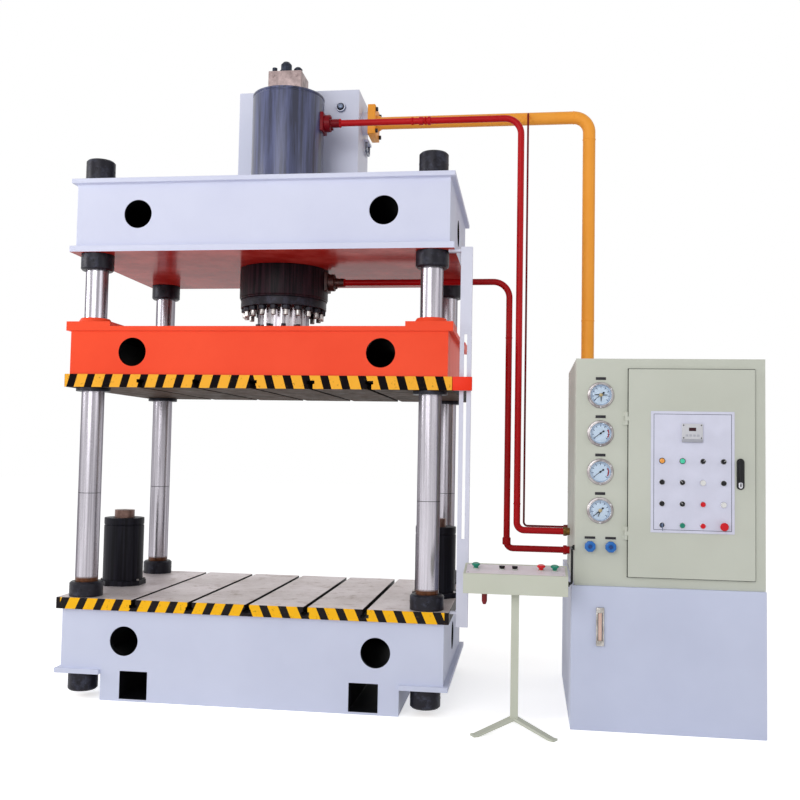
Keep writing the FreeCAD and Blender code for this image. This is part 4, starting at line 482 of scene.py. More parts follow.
def oil_blackened(name, colour, glint, roughness):
    """Steel blackened in hot oil: near black, with a satin glint, fine turning marks and grey rubs."""
    material, tree, output = new_finish(name)
    place = add(tree, "TexCoord").outputs["Object"]
    marks = add(tree, "Mapping", {"Vector": place, "Scale": (6.0, 6.0, 420.0)})
    marks = add(tree, "TexNoise", {"Vector": marks, "Scale": 1.0, "Detail": 2.0})
    clouds = add(tree, "TexNoise", {"Vector": place, "Scale": 24.0, "Detail": 5.0, "Roughness": 0.65})
    rub = add(tree, "MapRange", {"Value": clouds, "From Min": 0.5, "From Max": 0.75, "To Max": 0.6})
    tone = blend(tree, rub, colour, glint)
    rough = add(tree, "MapRange", {"Value": clouds, "To Min": roughness - 0.1,
                                   "To Max": roughness + 0.15})
    bump = add(tree, "Bump", {"Height": marks, "Strength": 0.15, "Distance": 0.0004})
    shader = add(tree, "BsdfPrincipled", {"Base Color": tone, "Metallic": 0.35,
                                          "Roughness": rough, "Normal": bump,
                                          "Specular IOR Level": SHEEN})
    tree.links.new(shader.outputs[0], output.inputs["Surface"])
    return material


black_steel = oil_blackened("oil_blackened_steel", "#1c1b23", "#484b5c", 0.40)
INNER_NUT, OUTER_NUT, NUT_CHAMFER = 88, 78, 9
FOOT_NUT, CROWN_NUT, TOP_NUT = 99, 90, 118
crown_low, crown_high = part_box("crown")
# Each nut: the face that it is screwed against, its free end, and its radius.
NUTS = ((FOOT_TOP / MM, FOOT_TOP / MM - FOOT_NUT, OUTER_NUT),
        (table_high.z / MM, (table_high.z + TABLE_NUT) / MM, INNER_NUT),
        (crown_low.z / MM, crown_low.z / MM - CROWN_NUT, INNER_NUT),
        (crown_high.z / MM, crown_high.z / MM + TOP_NUT, OUTER_NUT))


def nut_shape(x, y, seat, free, radius):
    """A ring with a square seat and a wide chamfer at its free end, open for the column."""
    bore, away = COLUMN_RADIUS - 1, math.copysign(1, free - seat)
    corners = [
        (bore, seat), (radius, seat), (radius, free - NUT_CHAMFER * away), (radius - NUT_CHAMFER, free),
        (bore, free)]
    return turned(eased_profile(corners, 2.5), (x, y, 0), around=96, closed=True)


def pin_hole_shape(x, y, z, radius, heading):
    """A shallow dark dimple with a raised burr, on the rim of a nut."""
    direction = (math.cos(heading), math.sin(heading), 0)
    at = (x + (radius - 6) * direction[0], y + (radius - 6) * direction[1], z)
    return turned([(0, 5.4), (4, 5.4), (4.8, 6.6), (6.2, 6.4), (6.8, 4.5)], at, direction, around=20)


nut_shapes = [nut_shape(x, y, *nut) for x, y in column_centres for nut in NUTS]
nuts = piece("turned_nuts", nut_shapes, "press", black_steel)
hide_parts("column_nuts")
holes = [pin_hole_shape(x, y, (seat + free) / 2, radius, math.radians(-90 + turn)) for x, y in column_centres
         for seat, free, radius in NUTS for turn in (8, 98, 188, 278)]
pin_holes = piece(
    "nut_pin_holes", holes, "press", oil_blackened("pin_hole_shadow", "#050506", "#1a181c", 0.6))

# ------------------------------------------------------------------------------------------------
# Crown: welded box with overhanging top and bottom plates. The outside has the bed's enamel, and
# the underside only its red-brown primer, dusty and blotched.
# ------------------------------------------------------------------------------------------------

CROWN_FLOOR, CROWN_ROOF, PRIMER_RISE = 0.033, 0.023, 0.0012
crown_enamel = sprayed_enamel("crown_enamel", "#d8dbef", "#d0d3e9", 0.40,
                              shaded_insides=(painted_shade_box(crown_low.z + CROWN_FLOOR, crown_high.z - CROWN_ROOF),),
                              underside=(crown_low.z + PRIMER_RISE, "#a82c26", "#c4524a", 0.17), sheen=0.02)
eased_copy("crown", "press", crown_enamel, 2.5)

# ------------------------------------------------------------------------------------------------
# Ram: forged cylinder with black gloss paint over a coarse cast and turned skin, its mouth below
# the crown closed by a gland ring with twenty studs, and a chromed rod with a screwed flange.
# ------------------------------------------------------------------------------------------------


def black_gloss(name, colour, glint, roughness, ripple, streaks=60.0, coat=0.0):
    """Dark gloss brushed on a rough forging: the coat pools in upright ripples of two tones."""
    material, tree, output = new_finish(name)
    place = add(tree, "TexCoord").outputs["Object"]
    ripples = add(tree, "Mapping", {"Vector": place, "Scale": (streaks, streaks, 1.6)})
    ripples = add(tree, "TexNoise", {"Vector": ripples, "Scale": 1.0, "Detail": 4.0, "Roughness": 0.65})
    grit = add(tree, "TexNoise", {"Vector": place, "Scale": 90.0, "Detail": 4.0, "Roughness": 0.6})
    high = add(tree, "Mix", {"Factor": 0.35, 2: ripples, 3: grit}, data_type="FLOAT")
    bump = add(tree, "Bump", {"Height": high, "Strength": ripple, "Distance": 0.003})
    tone = add(tree, "MapRange", {"Value": ripples, "From Min": 0.4, "From Max": 0.62})
    colour_mix = blend(tree, tone, colour, glint)
    rough = add(tree, "MapRange", {"Value": grit, "To Min": roughness - 0.05,
                                   "To Max": roughness + 0.12})
    shader = add(tree, "BsdfPrincipled", {"Base Color": colour_mix, "Roughness": rough,
                                          "Normal": bump, "Coat Weight": coat, "Coat Roughness": 0.28,
                                          "Specular IOR Level": 0.1})
    tree.links.new(shader.outputs[0], output.inputs["Surface"])
    return material


ram_low, ram_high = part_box("main_cylinder")
BARREL, MOUTH, BORE = 212, 258, 171
mouth_top, ram_top, ram_foot = crown_low.z / MM, ram_high.z / MM, ram_low.z / MM
barrel_profile = eased_profile(
    [
        (0, ram_top - 60), (BORE, ram_top - 60), (BORE, mouth_top), (BARREL, mouth_top),
        (BARREL, ram_top - 24), (BARREL - 5, ram_top - 20), (BARREL - 5, ram_top - 14),
        (BARREL, ram_top - 10), (BARREL, ram_top), (0, ram_top)],
    4)
mouth_profile = eased_profile([(BORE, ram_foot), (MOUTH - 4, ram_foot), (MOUTH - 4, ram_foot + 8),
                               (MOUTH, ram_foot + 12), (MOUTH, mouth_top), (BORE, mouth_top)], 4)


def bolted_pad(face, height, size=112, back=60):
    """A flat square pad with rounded corners, welded on a barrel for a pipe flange."""
    return block((face - back, -size / 2, height - size / 2), (face, size / 2, height + size / 2), 5)


def block(low, high, edge, steps=3):
    """A cuboid with rounded edges. Its outline across X and Y is a rectangle with quarter-round corners;
    rings of that outline shrink by the edge radius at both ends, along a quarter circle."""
    low, high = np.array(low, float), np.array(high, float)
    centre, half = (low + high) / 2, (high - low) / 2
    edge = min(edge, half.min() * 0.98)
    turn = np.linspace(0, np.pi / 2, steps + 1)
    quarter = np.stack([np.cos(turn), np.sin(turn)], -1)
    rise = np.concatenate([-half[2] + edge * (1 - np.cos(turn)), half[2] - edge * (1 - np.cos(turn[::-1]))])
    draw = np.concatenate([edge * (1 - np.sin(turn)), edge * (1 - np.sin(turn[::-1]))])
    corners = []
    for number, (sx, sy) in enumerate(((1, 1), (-1, 1), (-1, -1), (1, -1))):
        arc = quarter if number % 2 == 0 else quarter[::-1]
        corners.append(
            np.stack([arc[:, 0] * sx, arc[:, 1] * sy, np.full(len(arc), sx), np.full(len(arc), sy)], -1))
    outline = np.concatenate(corners)
    x = outline[:, None, 2] * (half[0] - edge) + outline[:, None, 0] * (edge - draw)[None, :]
    y = outline[:, None, 3] * (half[1] - edge) + outline[:, None, 1] * (edge - draw)[None, :]
    z = np.broadcast_to(rise, x.shape)
    return skin(np.stack([x, y, z], -1) + centre)


PRESSURE_PORT, RETURN_PORT = crown_high.z / MM + 475, crown_low.z / MM - 72
ram = piece("ram_barrel", [turned(barrel_profile, (0, 0, 0), around=144)], "press",
            black_gloss("blue_grey_forging_gloss", "#23263e", "#4f557b", 0.42, 0.35, 30.0, 0.9))
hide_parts("main_cylinder")
# The mouth under the crown has the barrel's paint much darker, with a reddish tinge: painted shade from the
# crown, and painted reflection of its red underside.
mouth = piece("ram_mouth", [turned(mouth_profile, (0, 0, 0), around=144, closed=True)], "press",
              black_gloss("forging_gloss_painted_shade", "#0d0a10", "#33212a", 0.36, 0.5))

GLAND_BORE, GLAND_RADIUS = 151, 250
gland_low, gland_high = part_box("gland_flange")
gland_profile = eased_profile(
    [
        (GLAND_BORE, gland_low.z / MM), (GLAND_RADIUS, gland_low.z / MM), (GLAND_RADIUS, gland_high.z / MM),
        (GLAND_BORE, gland_high.z / MM)],
    4)
gland = piece("gland_ring", [turned(gland_profile, (0, 0, 0), around=120, closed=True)], "press", black_steel)
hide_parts("gland_flange")


def hexagon(across, low, high, at, direction=(0, 0, 1), chamfer=0.12, per_side=6):
    """A hexagon head: radius follows the flats, and both ends shrink to the circle inside the corners."""
    flats = across / 2
    angle = np.linspace(0, 2 * np.pi, 6 * per_side, endpoint=False)
    radius = flats / np.cos((angle + np.pi / 6) % (np.pi / 3) - np.pi / 6)
    cut = chamfer * across / 2
    heights = np.array([low, low + cut * 0.35, low + cut, high - cut, high - cut * 0.35, high])
    limit = flats * np.array([0.97, 1.07, 1.2, 1.2, 1.07, 0.97])
    reach = np.minimum(radius[:, None], limit[None, :])
    side, other, along = axes_for(direction)
    ring = np.cos(angle)[:, None, None] * side + np.sin(angle)[:, None, None] * other
    points = np.array(at, float) + reach[..., None] * ring + heights[None, :, None] * along
    return skin(points)


def bright_metal(name, colour, shade, roughness, metallic=0.9):
    """Bare turned metal: fine marks all over it, and patches that fingers have dulled."""
    material, tree, output = new_finish(name)
    place = add(tree, "TexCoord").outputs["Object"]
    clouds = add(tree, "TexNoise", {"Vector": place, "Scale": 22.0, "Detail": 6.0, "Roughness": 0.65})
    fine = add(tree, "TexNoise", {"Vector": place, "Scale": 260.0, "Detail": 2.0})
    share = add(tree, "MapRange", {"Value": clouds, "From Min": 0.35, "From Max": 0.65})
    tone = blend(tree, share, colour, shade)
    rough = add(tree, "MapRange", {"Value": clouds, "To Min": roughness - 0.08,
                                   "To Max": roughness + 0.16})
    bump = add(tree, "Bump", {"Height": fine, "Strength": 0.08, "Distance": 0.0004})
    shader = add(tree, "BsdfPrincipled", {"Base Color": tone, "Metallic": metallic,
                                          "Roughness": rough, "Normal": bump})
    tree.links.new(shader.outputs[0], output.inputs["Surface"])
    return material


stud_steel = bright_metal("greasy_stud_steel", "#dcd8d6", "#4f4643", 0.26)
STUD_CIRCLE, STUD_COUNT, STUD_DROP, STUD_RADIUS, STUD_NUT = 223, 20, 56, 14, 41.6
gland_z = gland_low.z / MM
stud_shapes, nut_rings = [], []
for number in range(STUD_COUNT):
    turn = math.radians(360 / STUD_COUNT * number)
    at = (STUD_CIRCLE * math.cos(turn), STUD_CIRCLE * math.sin(turn), 0)
    nut_rings.append(hexagon(STUD_NUT, gland_z - 24, gland_z, at))
    stud_shapes.append(
        turned(
            eased_profile(
                [
                    (0, gland_z - STUD_DROP), (STUD_RADIUS, gland_z - STUD_DROP),
                    (STUD_RADIUS, gland_z - 20), (0, gland_z - 20)],
                3),
            at, around=28))
gland_nuts = piece("gland_nuts", nut_rings, "press", black_steel)
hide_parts("gland_studs")
studs = piece("gland_stud_ends", stud_shapes, "press", stud_steel)

rod_low, rod_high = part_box("piston_rod")
ROD, FLANGE, SCREW_COUNT, ROD_SCREW_CIRCLE, PISTON_HEAD = 150, 186, 12, 168, 150
rod_foot = rod_low.z / MM
rod_profile = eased_profile([(0, rod_foot + 6), (ROD, rod_foot + 6), (ROD, rod_high.z / MM - PISTON_HEAD),
                             (0, rod_high.z / MM - PISTON_HEAD)], 3)
rod_chrome = chromed_bar("rod_hard_chrome", "#7f7a80", "#cfcbd0")
rod = piece("rod_shaft", [turned(rod_profile, (0, 0, 0), around=120)], "slide_assembly", rod_chrome)
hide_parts("piston_rod")
flange_profile = eased_profile([(ROD - 2, rod_foot), (FLANGE, rod_foot), (FLANGE, rod_foot + 52),
                                (ROD + 4, rod_foot + 52), (ROD - 2, rod_foot + 58)], 4)
flange_shapes = [turned(flange_profile, (0, 0, 0), around=120)]
for number in range(SCREW_COUNT):
    turn = math.radians(360 / SCREW_COUNT * number + 15)
    at = (ROD_SCREW_CIRCLE * math.cos(turn), ROD_SCREW_CIRCLE * math.sin(turn), 0)
    flange_shapes.append(turned(eased_profile([(14, rod_foot + 51), (14, rod_foot + 72), (8, rod_foot + 72),
                                               (8, rod_foot + 62), (0, rod_foot + 62)], 1.6), at, around=28))
rod_flange = piece("rod_flange", flange_shapes, "slide_assembly", black_steel)

# ------------------------------------------------------------------------------------------------
# Slide: welded box with thick pads and conical guide caps at its corners, in a bright orange-red
# gloss that has flowed over the welds. Its platen below is milled steel with striped edges.
# ------------------------------------------------------------------------------------------------

SLIDE_FLOOR, SLIDE_ROOF = 0.028, 0.237
slide_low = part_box("slide")[0]
slide_gloss = sprayed_enamel("slide_gloss", "#f55030", "#ec472a", 0.42,
                             shaded_insides=(painted_shade_box(slide_low.z + SLIDE_FLOOR, slide_low.z + SLIDE_ROOF,
                                             reach_y=plate_y - SLIDE_INSET - SKIN),), sheen=0.1)
eased_copy("slide", "slide_assembly", slide_gloss, 2.5)

platen_low, platen_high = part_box("slide_platen")
# The platen's steel tones are much darker than the table's: painted shade on its underside, which faces the
# floor.
platen_steel = striped_plate(
    "milled_platen_steel", platen_low, platen_high, (0.1002, 0.29, 0.0096, -0.0076), "#f6b13b",
    ("#5a473c", "#43362d", "#2a211c"), 0.0, 0.0016, 0.01)
eased_copy("slide_platen", "slide_assembly", platen_steel, 1.5)

BUSH_BORE, BUSH_FLANGE, BUSH_BARREL = 60.6, 90.5, 72
bush_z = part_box("guide_bushes")[0].z / MM
bush_profile = eased_profile(
    [
        (BUSH_BORE, bush_z), (BUSH_FLANGE, bush_z), (BUSH_FLANGE, bush_z + 20), (BUSH_BARREL, bush_z + 20),
        (BUSH_BARREL, bush_z + 60), (BUSH_BORE, bush_z + 60)],
    2.5)
bushes = piece(
    "bush_flanges", [turned(bush_profile, (x, y, 0), around=96, closed=True) for x, y in column_centres],
    "slide_assembly", black_steel)
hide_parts("guide_bushes")

arm_low, arm_high = (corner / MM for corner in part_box("trip_arm"))
arm = piece("trip_arm_bar", [block(arm_low, arm_high, 2)], "slide_assembly",
            sprayed_enamel("trip_arm_gloss", "#f23820", "#df2f1a", 0.36, sheen=0.1))
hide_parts("trip_arm")

# ------------------------------------------------------------------------------------------------
# Stroke rail: folded sheet channel with a long slot for limit switches, in the frame's enamel. One
# bracket under the crown and one at the table hold it beside the front right column.
# ------------------------------------------------------------------------------------------------

rail_enamel = sprayed_enamel("rail_enamel", "#d5d6e6", "#c9cbdc", 0.44)
eased_copy("stroke_rail", "press", rail_enamel, 0.8)

# ------------------------------------------------------------------------------------------------
# Table buffers: black-painted cylinders on eight-sided feet held by corner screws, with brown
# ground rods that the platen meets.
# ------------------------------------------------------------------------------------------------

buffer_low, buffer_high = (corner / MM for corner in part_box("buffer_cylinders"))
BUFFER_BASE, BUFFER_RADIUS, BUFFER_ROD, SCREW_CIRCLE = 123, 114, 57, 122.5
buffer_y = (buffer_low.y + buffer_high.y) / 2
buffer_gloss = black_gloss("black_cylinder_paint", "#0f0e14", "#201f28", 0.40, 0.2)
rod_brown = bright_metal("oily_rod_steel", "#84665d", "#573f38", 0.34, 0.6)
table_z, buffer_top = buffer_low.z, buffer_high.z
buffer_shapes, buffer_screws = [], []
for side in (-1, 1):
    at = (side * (buffer_high.x - BUFFER_BASE), buffer_y, 0)
    buffer_shapes.append(
        turned(
            eased_profile(
                [
                    (0, table_z + 24), (BUFFER_RADIUS, table_z + 24), (BUFFER_RADIUS, buffer_top - 44),
                    (BUFFER_RADIUS - 5, buffer_top - 43), (BUFFER_RADIUS - 5, buffer_top - 39),
                    (BUFFER_RADIUS, buffer_top - 38), (BUFFER_RADIUS, buffer_top),
                    (BUFFER_ROD + 10, buffer_top), (BUFFER_ROD + 8, buffer_top - 3),
                    (BUFFER_ROD + 1, buffer_top - 3), (BUFFER_ROD + 1, buffer_top - 20)],
                3),
            at, around=96))
    angle = np.linspace(0, 2 * np.pi, 64, endpoint=False)
    flat = BUFFER_BASE / np.cos((angle + np.pi / 8) % (np.pi / 4) - np.pi / 8)
    heights = np.array([0, 0, 25, 28]) + table_z
    trim = np.array([0, 0, 0, 3.0])
    reach = flat[:, None] - trim[None, :]
    foot = np.stack([reach * np.cos(angle)[:, None] + at[0], reach * np.sin(angle)[:, None] + at[1],
                     np.broadcast_to(heights, reach.shape)], -1)
    buffer_shapes.append(skin(foot))
    for turn in (22.5, 157.5, 202.5, 337.5):
        heading = math.radians(turn)
        spot = (at[0] + SCREW_CIRCLE * math.cos(heading), at[1] + SCREW_CIRCLE * math.sin(heading), 0)
        buffer_screws.append(hexagon(13, table_z + 27, table_z + 37, spot))
    rod_node = "buffer_rod_left" if side < 0 else "buffer_rod_right"
    low, high = (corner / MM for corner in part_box(rod_node))
    rod_piece = piece(
        rod_node + "_ground",
        [
            turned(
                eased_profile(
                    [
                        (0, low.z), (BUFFER_ROD, low.z), (BUFFER_ROD, high.z), (12, high.z),
                        (10, high.z - 6), (0, high.z - 6)],
                    2.5),
                at, around=80)],
        "buffer_left" if side < 0 else "buffer_right", rod_brown)
    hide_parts(rod_node)
buffers = piece("buffer_bodies", buffer_shapes, "press", buffer_gloss)
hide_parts("buffer_cylinders")
corner_screws = piece("buffer_screws", buffer_screws, "press", stud_steel)

# ------------------------------------------------------------------------------------------------
# Filling valve on the ram: a ground steel block with two turned caps and a plug, and its neck to
# the tank behind. The tank is folded sheet with welded corners, in pale enamel.
# ------------------------------------------------------------------------------------------------

valve_low, valve_high = (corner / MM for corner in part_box("filling_valve"))
valve_steel = bright_metal("ground_valve_steel", "#bda7a5", "#8a7877", 0.42, 0.3)
blued_steel = oil_blackened("blued_cap_steel", "#232836", "#4d5568", 0.30)
VALVE_HALF, VALVE_TOP = 90, ram_top + 135
valve_x = (valve_low.x + valve_high.x) / 2


def dome(x, y, radius, base, top):
    """A turned cap with a collar and a rounded crown."""
    rise = top - base
    profile = eased_profile([(0, base - 2), (radius, base - 2), (radius, base + rise * 0.32),
                             (radius * 0.86, base + rise * 0.36), (radius * 0.86, base + rise * 0.78),
                             (radius * 0.5, top), (0, top)], radius * 0.12)
    return turned(profile, (x, y, 0), around=48)


valve_shapes = [
    block((valve_low.x, -VALVE_HALF, ram_top), (valve_high.x, VALVE_HALF, VALVE_TOP), 4),
    turned(
        eased_profile([(0, -20), (60, -20), (60, 150), (0, 150)], 2), (valve_x, VALVE_HALF, ram_top + 68),
        (0, 1, 0)),
    block((valve_low.x + 18, -VALVE_HALF - 10, ram_top), (valve_high.x - 18, VALVE_HALF, ram_top + 16), 3)]
for x, z in [(x, z) for z in (40, 105) for x in (valve_low.x + 30, valve_high.x - 30)]:
    valve_shapes.append(turned(eased_profile([(0, -2), (8, -2), (8, 5), (4, 5), (4, 2), (0, 2)], 1.2),
                               (x, -VALVE_HALF, ram_top + z), (0, -1, 0), around=28))
valve = piece("valve_block", valve_shapes, "press", valve_steel)
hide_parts("filling_valve")
caps = piece(
    "valve_caps",
    [
        dome(valve_x - 10, -20, 38, VALVE_TOP, valve_high.z),
        dome(valve_x + 57, 0, 30, VALVE_TOP, VALVE_TOP + 50),
        turned(
            eased_profile(
                [
                    (0, VALVE_TOP - 2), (15, VALVE_TOP - 2), (15, VALVE_TOP + 36), (8, VALVE_TOP + 36),
                    (8, VALVE_TOP + 24), (0, VALVE_TOP + 24)],
                2),
            (valve_x - 75, -40, 0), around=32)],
    "press", blued_steel)

tank_enamel = sprayed_enamel("tank_enamel", "#dcdff1", "#d3d7ea", 0.36)
eased_copy("filler_tank", "press", tank_enamel, 3.0)
tank_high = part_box("filler_tank")[1] / MM
PLUG_X, PLUG_DROP, TANK_FACE = 268, 110, 240
tank_plug = piece("tank_plug_cap", [
    turned(eased_profile([(0, -2), (30, -2), (30, 14), (24, 20), (0, 20)], 2.5),
           (PLUG_X, TANK_FACE, tank_high.z - PLUG_DROP), (0, -1, 0), around=48),
    hexagon(30, 18, 30, (PLUG_X, TANK_FACE, tank_high.z - PLUG_DROP), (0, -1, 0))], "press",
    bright_metal("zinc_plug_steel", "#8590a8", "#596378", 0.36, 0.7))

# ------------------------------------------------------------------------------------------------
# Pipes: drawn steel tube bent cold and welded to flanges, each in its own gloss colour. The wide
# suction pipe is orange, the pressure and return pipes red, and the thin pilot pipe dark red.
# ------------------------------------------------------------------------------------------------


def bent_tube(corners, bends, radius, around=28, steps=12):
    """A round tube along straight runs and quarter bends. Each ring sits square to the path: its two
    side vectors turn with the path about the bend's own axis."""
    corners = [np.array(corner, float) for corner in corners]
    headings = [(b - a) / np.linalg.norm(b - a) for a, b in zip(corners, corners[1:])]
    side, other, _ = axes_for(headings[0])
    centres, sides, others = [corners[0]], [side], [other]
    for corner, before, after, bend in zip(corners[1:], headings, headings[1:], bends):
        axis = np.cross(before, after)
        middle = corner - before * bend + after * bend
        for turn in np.linspace(0, np.pi / 2, steps + 1):
            centres.append(middle - after * bend * math.cos(turn) + before * bend * math.sin(turn))
            sides.append(side * math.cos(turn) + np.cross(axis, side) * math.sin(turn)
                         + axis * (axis @ side) * (1 - math.cos(turn)))
            others.append(other * math.cos(turn) + np.cross(axis, other) * math.sin(turn)
                          + axis * (axis @ other) * (1 - math.cos(turn)))
        side, other = sides[-1], others[-1]
    centres.append(corners[-1])
    sides.append(side)
    others.append(other)
    angle = np.linspace(0, 2 * np.pi, around, endpoint=False)[:, None, None]
    points = np.array(centres) + radius * (np.cos(angle) * np.array(sides) + np.sin(angle) * np.array(others))
    return skin(points)


def weld_bead(at, direction, radius, width=7, height=1.6, ripples=46):
    """A weld seam round a tube: a low half-round ring whose crest ripples."""
    across, other, along = axes_for(direction)
    angle = np.linspace(0, 2 * np.pi, ripples * 4, endpoint=False)[:, None]
    share = np.linspace(0, np.pi, 7)[None, :]
    crest = height * np.sin(share) * (1 + 0.25 * np.sin(ripples * angle))
    reach = (radius - 0.4 + crest)[..., None]
    ring = np.cos(angle)[..., None] * across + np.sin(angle)[..., None] * other
    slide_along = (width * (share / np.pi - 0.5) + 0.7 * np.sin(ripples * angle))[..., None] * along
    return skin(np.array(at, float) + reach * ring + slide_along, capped=False)


cabinet_low, cabinet_high = (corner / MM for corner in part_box("cabinet"))
CABINET_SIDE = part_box("pressure_pipe")[1].x / MM
PRESSURE_X, PRESSURE_LOW, PRESSURE_RADIUS = 1378, 914, 19
RETURN_X, RETURN_LOW, RETURN_RADIUS = 1322, 811, 18
NECK_RADIUS, NECK_END = 25, 90


def port_flange(face, height):
    """Round four-bolt flange, neck and cap screws of a pipe port."""
    shapes = [
        turned(
            eased_profile(
                [
                    (0, 0), (50, 0), (50, 34), (28, 34), (NECK_RADIUS, 38), (NECK_RADIUS, NECK_END),
                    (0, NECK_END)],
                2.5),
            (face, 0, height), (1, 0, 0), around=64)]
    for n in range(4):
        turn = math.radians(45 + 90 * n)
        shapes.append(turned(eased_profile([(0, 32), (7, 32), (7, 44), (4, 44), (4, 39), (0, 39)], 1),
                             (face, 37 * math.cos(turn), height + 37 * math.sin(turn)), (1, 0, 0), around=24))
    return shapes


def union(y, z, radius=26, length=36):
    """A compression nut where a pipe enters the cabinet's side."""
    return [hexagon(radius * 2 * 0.86, 0, length * 0.6, (CABINET_SIDE - length, y, z), (1, 0, 0)),
            turned(eased_profile([(0, length * 0.5), (radius * 0.8, length * 0.5), (radius * 0.8, length),
                                  (0, length)], 1.5), (CABINET_SIDE - length, y, z), (1, 0, 0), around=40)]


def sleeve(at, direction, radius, length, swell):
    """A short collar round a pipe, with its ends ground down to the pipe."""
    return turned(eased_profile([(radius - 1, 0), (radius + swell, 4), (radius + swell, length - 4),
                                 (radius - 1, length)], 1.5), at, direction, around=40)


along_x = (1, 0, 0)
pressure_face, return_face = BARREL + 12, MOUTH + 12
pressure_gloss = sprayed_enamel("pressure_pipe_gloss", "#c21a20", "#a61319", 0.3, sheen=0.1)
pressure = piece("pressure_tube", [
    bent_tube([(pressure_face + 60, 0, PRESSURE_PORT), (PRESSURE_X, 0, PRESSURE_PORT),
               (PRESSURE_X, 0, PRESSURE_LOW), (CABINET_SIDE, 0, PRESSURE_LOW)], [95, 42], PRESSURE_RADIUS),
    weld_bead((pressure_face + NECK_END, 0, PRESSURE_PORT), along_x, 22, 14, 4),
    weld_bead((745, 0, PRESSURE_PORT), along_x, PRESSURE_RADIUS, 16, 3),
    sleeve((782, 0, PRESSURE_PORT), along_x, PRESSURE_RADIUS, 30, 5),
    weld_bead((822, 0, PRESSURE_PORT), along_x, PRESSURE_RADIUS, 14, 4),
    sleeve((832, 0, PRESSURE_PORT), along_x, PRESSURE_RADIUS, 24, 6),
    weld_bead((PRESSURE_X, 0, 1060), (0, 0, 1), PRESSURE_RADIUS, 10, 2)], "press", pressure_gloss)
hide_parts("pressure_pipe")
pressure_flange = piece("pressure_port_flange", [bolted_pad(pressure_face, PRESSURE_PORT),
                                                 *port_flange(pressure_face, PRESSURE_PORT)], "press",
                        sprayed_enamel("grimy_red_gloss", "#7c101a", "#4c0c14", 0.3, sheen=0.1))
returned = piece("return_tube", [
    bent_tube([(return_face + 60, 0, RETURN_PORT), (RETURN_X, 0, RETURN_PORT), (RETURN_X, 0, RETURN_LOW),
               (CABINET_SIDE, 0, RETURN_LOW)], [93, 36], RETURN_RADIUS),
    *union(0, RETURN_LOW),
    sleeve((RETURN_X, 0, RETURN_LOW + 18), (0, 0, 1), RETURN_RADIUS, 44, 5.4),
    weld_bead((return_face + NECK_END, 0, RETURN_PORT), along_x, 21, 12, 3),
    weld_bead((RETURN_X, 0, 2000), (0, 0, 1), RETURN_RADIUS, 10, 2)], "press",
    sprayed_enamel("return_pipe_gloss", "#ad1116", "#8b0c11", 0.3, sheen=0.1))
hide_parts("return_pipe")
return_flange = piece("return_port_flange", [bolted_pad(return_face, RETURN_PORT),
                                             *port_flange(return_face, RETURN_PORT)], "press",
                      bright_metal("rusty_flange_steel", "#55312b", "#1c1214", 0.42, 0.3))

SUCTION_Y, SUCTION_X, SUCTION_RADIUS, FLANGE_HALF = 400, 1787, 38, 93
suction_low, suction_high = (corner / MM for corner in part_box("suction_pipe"))
suction_z = suction_high.z - FLANGE_HALF
PILOT_X, PILOT_Y, PILOT_LOW, PILOT_RADIUS, PILOT_BOSS_Y = 1416, 290, 917, 6, 350
dark_red = sprayed_enamel("pilot_pipe_gloss", "#7c141c", "#650f16", 0.36, sheen=0.1)
pilot = piece(
    "pilot_tube",
    [
        bent_tube(
            [
                (CABINET_SIDE, PILOT_Y, PILOT_LOW), (PILOT_X, PILOT_Y, PILOT_LOW),
                (PILOT_X, PILOT_Y, suction_z), (PILOT_X, PILOT_BOSS_Y, suction_z)],
            [22, 22], PILOT_RADIUS, around=16),
        hexagon(21, -24, 0, (CABINET_SIDE, PILOT_Y, PILOT_LOW), along_x)],
    "press", dark_red)
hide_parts("pilot_pipe")

pressure_union = piece("pressure_union", union(0, PRESSURE_LOW), "press",
                       bright_metal("tarnished_brass", "#8d6c38", "#5c4520", 0.34))

orange_gloss = sprayed_enamel("orange_pipe_gloss", "#ffac44", "#f8a034", 0.36, sheen=0.12)
suction_foot = suction_low.z
bead = (SUCTION_RADIUS, 9, 2)
suction_shapes = [
    bent_tube(
        [
            (suction_low.x + 20, SUCTION_Y, suction_z), (SUCTION_X, SUCTION_Y, suction_z),
            (SUCTION_X, SUCTION_Y, suction_foot)],
        [95], SUCTION_RADIUS, around=48, steps=20),
    block(
        (suction_low.x, SUCTION_Y - FLANGE_HALF, suction_z - FLANGE_HALF),
        (suction_low.x + 48, SUCTION_Y + FLANGE_HALF, suction_z + FLANGE_HALF), 4),
    turned(
        eased_profile([(37, 46), (52, 48), (44, 70), (37, 76)], 2), (suction_low.x, SUCTION_Y, suction_z),
        along_x, around=56),
    turned(
        eased_profile([(37, 0), (68, 0), (68, 19), (37, 19)], 3), (SUCTION_X, SUCTION_Y, suction_foot),
        around=64),
    turned(
        eased_profile([(0, 0), (13, 0), (13, 16), (0, 16)], 1.5), (PILOT_X, PILOT_BOSS_Y, suction_z),
        (0, 1, 0), around=32),
    weld_bead((SUCTION_X - 95, SUCTION_Y, suction_z), along_x, *bead),
    weld_bead((SUCTION_X, SUCTION_Y, suction_z - 141), (0, 0, 1), *bead),
    weld_bead((SUCTION_X, SUCTION_Y, suction_z - 1257), (0, 0, 1), *bead)]
suction = piece("suction_tube", suction_shapes, "press", orange_gloss)
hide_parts("suction_pipe")
flange_bolts = piece(
    "suction_bolts",
    [
        hexagon(24, 48, 62, (suction_low.x, SUCTION_Y + 68 * a, suction_z + 68 * b), along_x)
        for a in (-1, 1) for b in (-1, 1)],
    "press", black_steel)

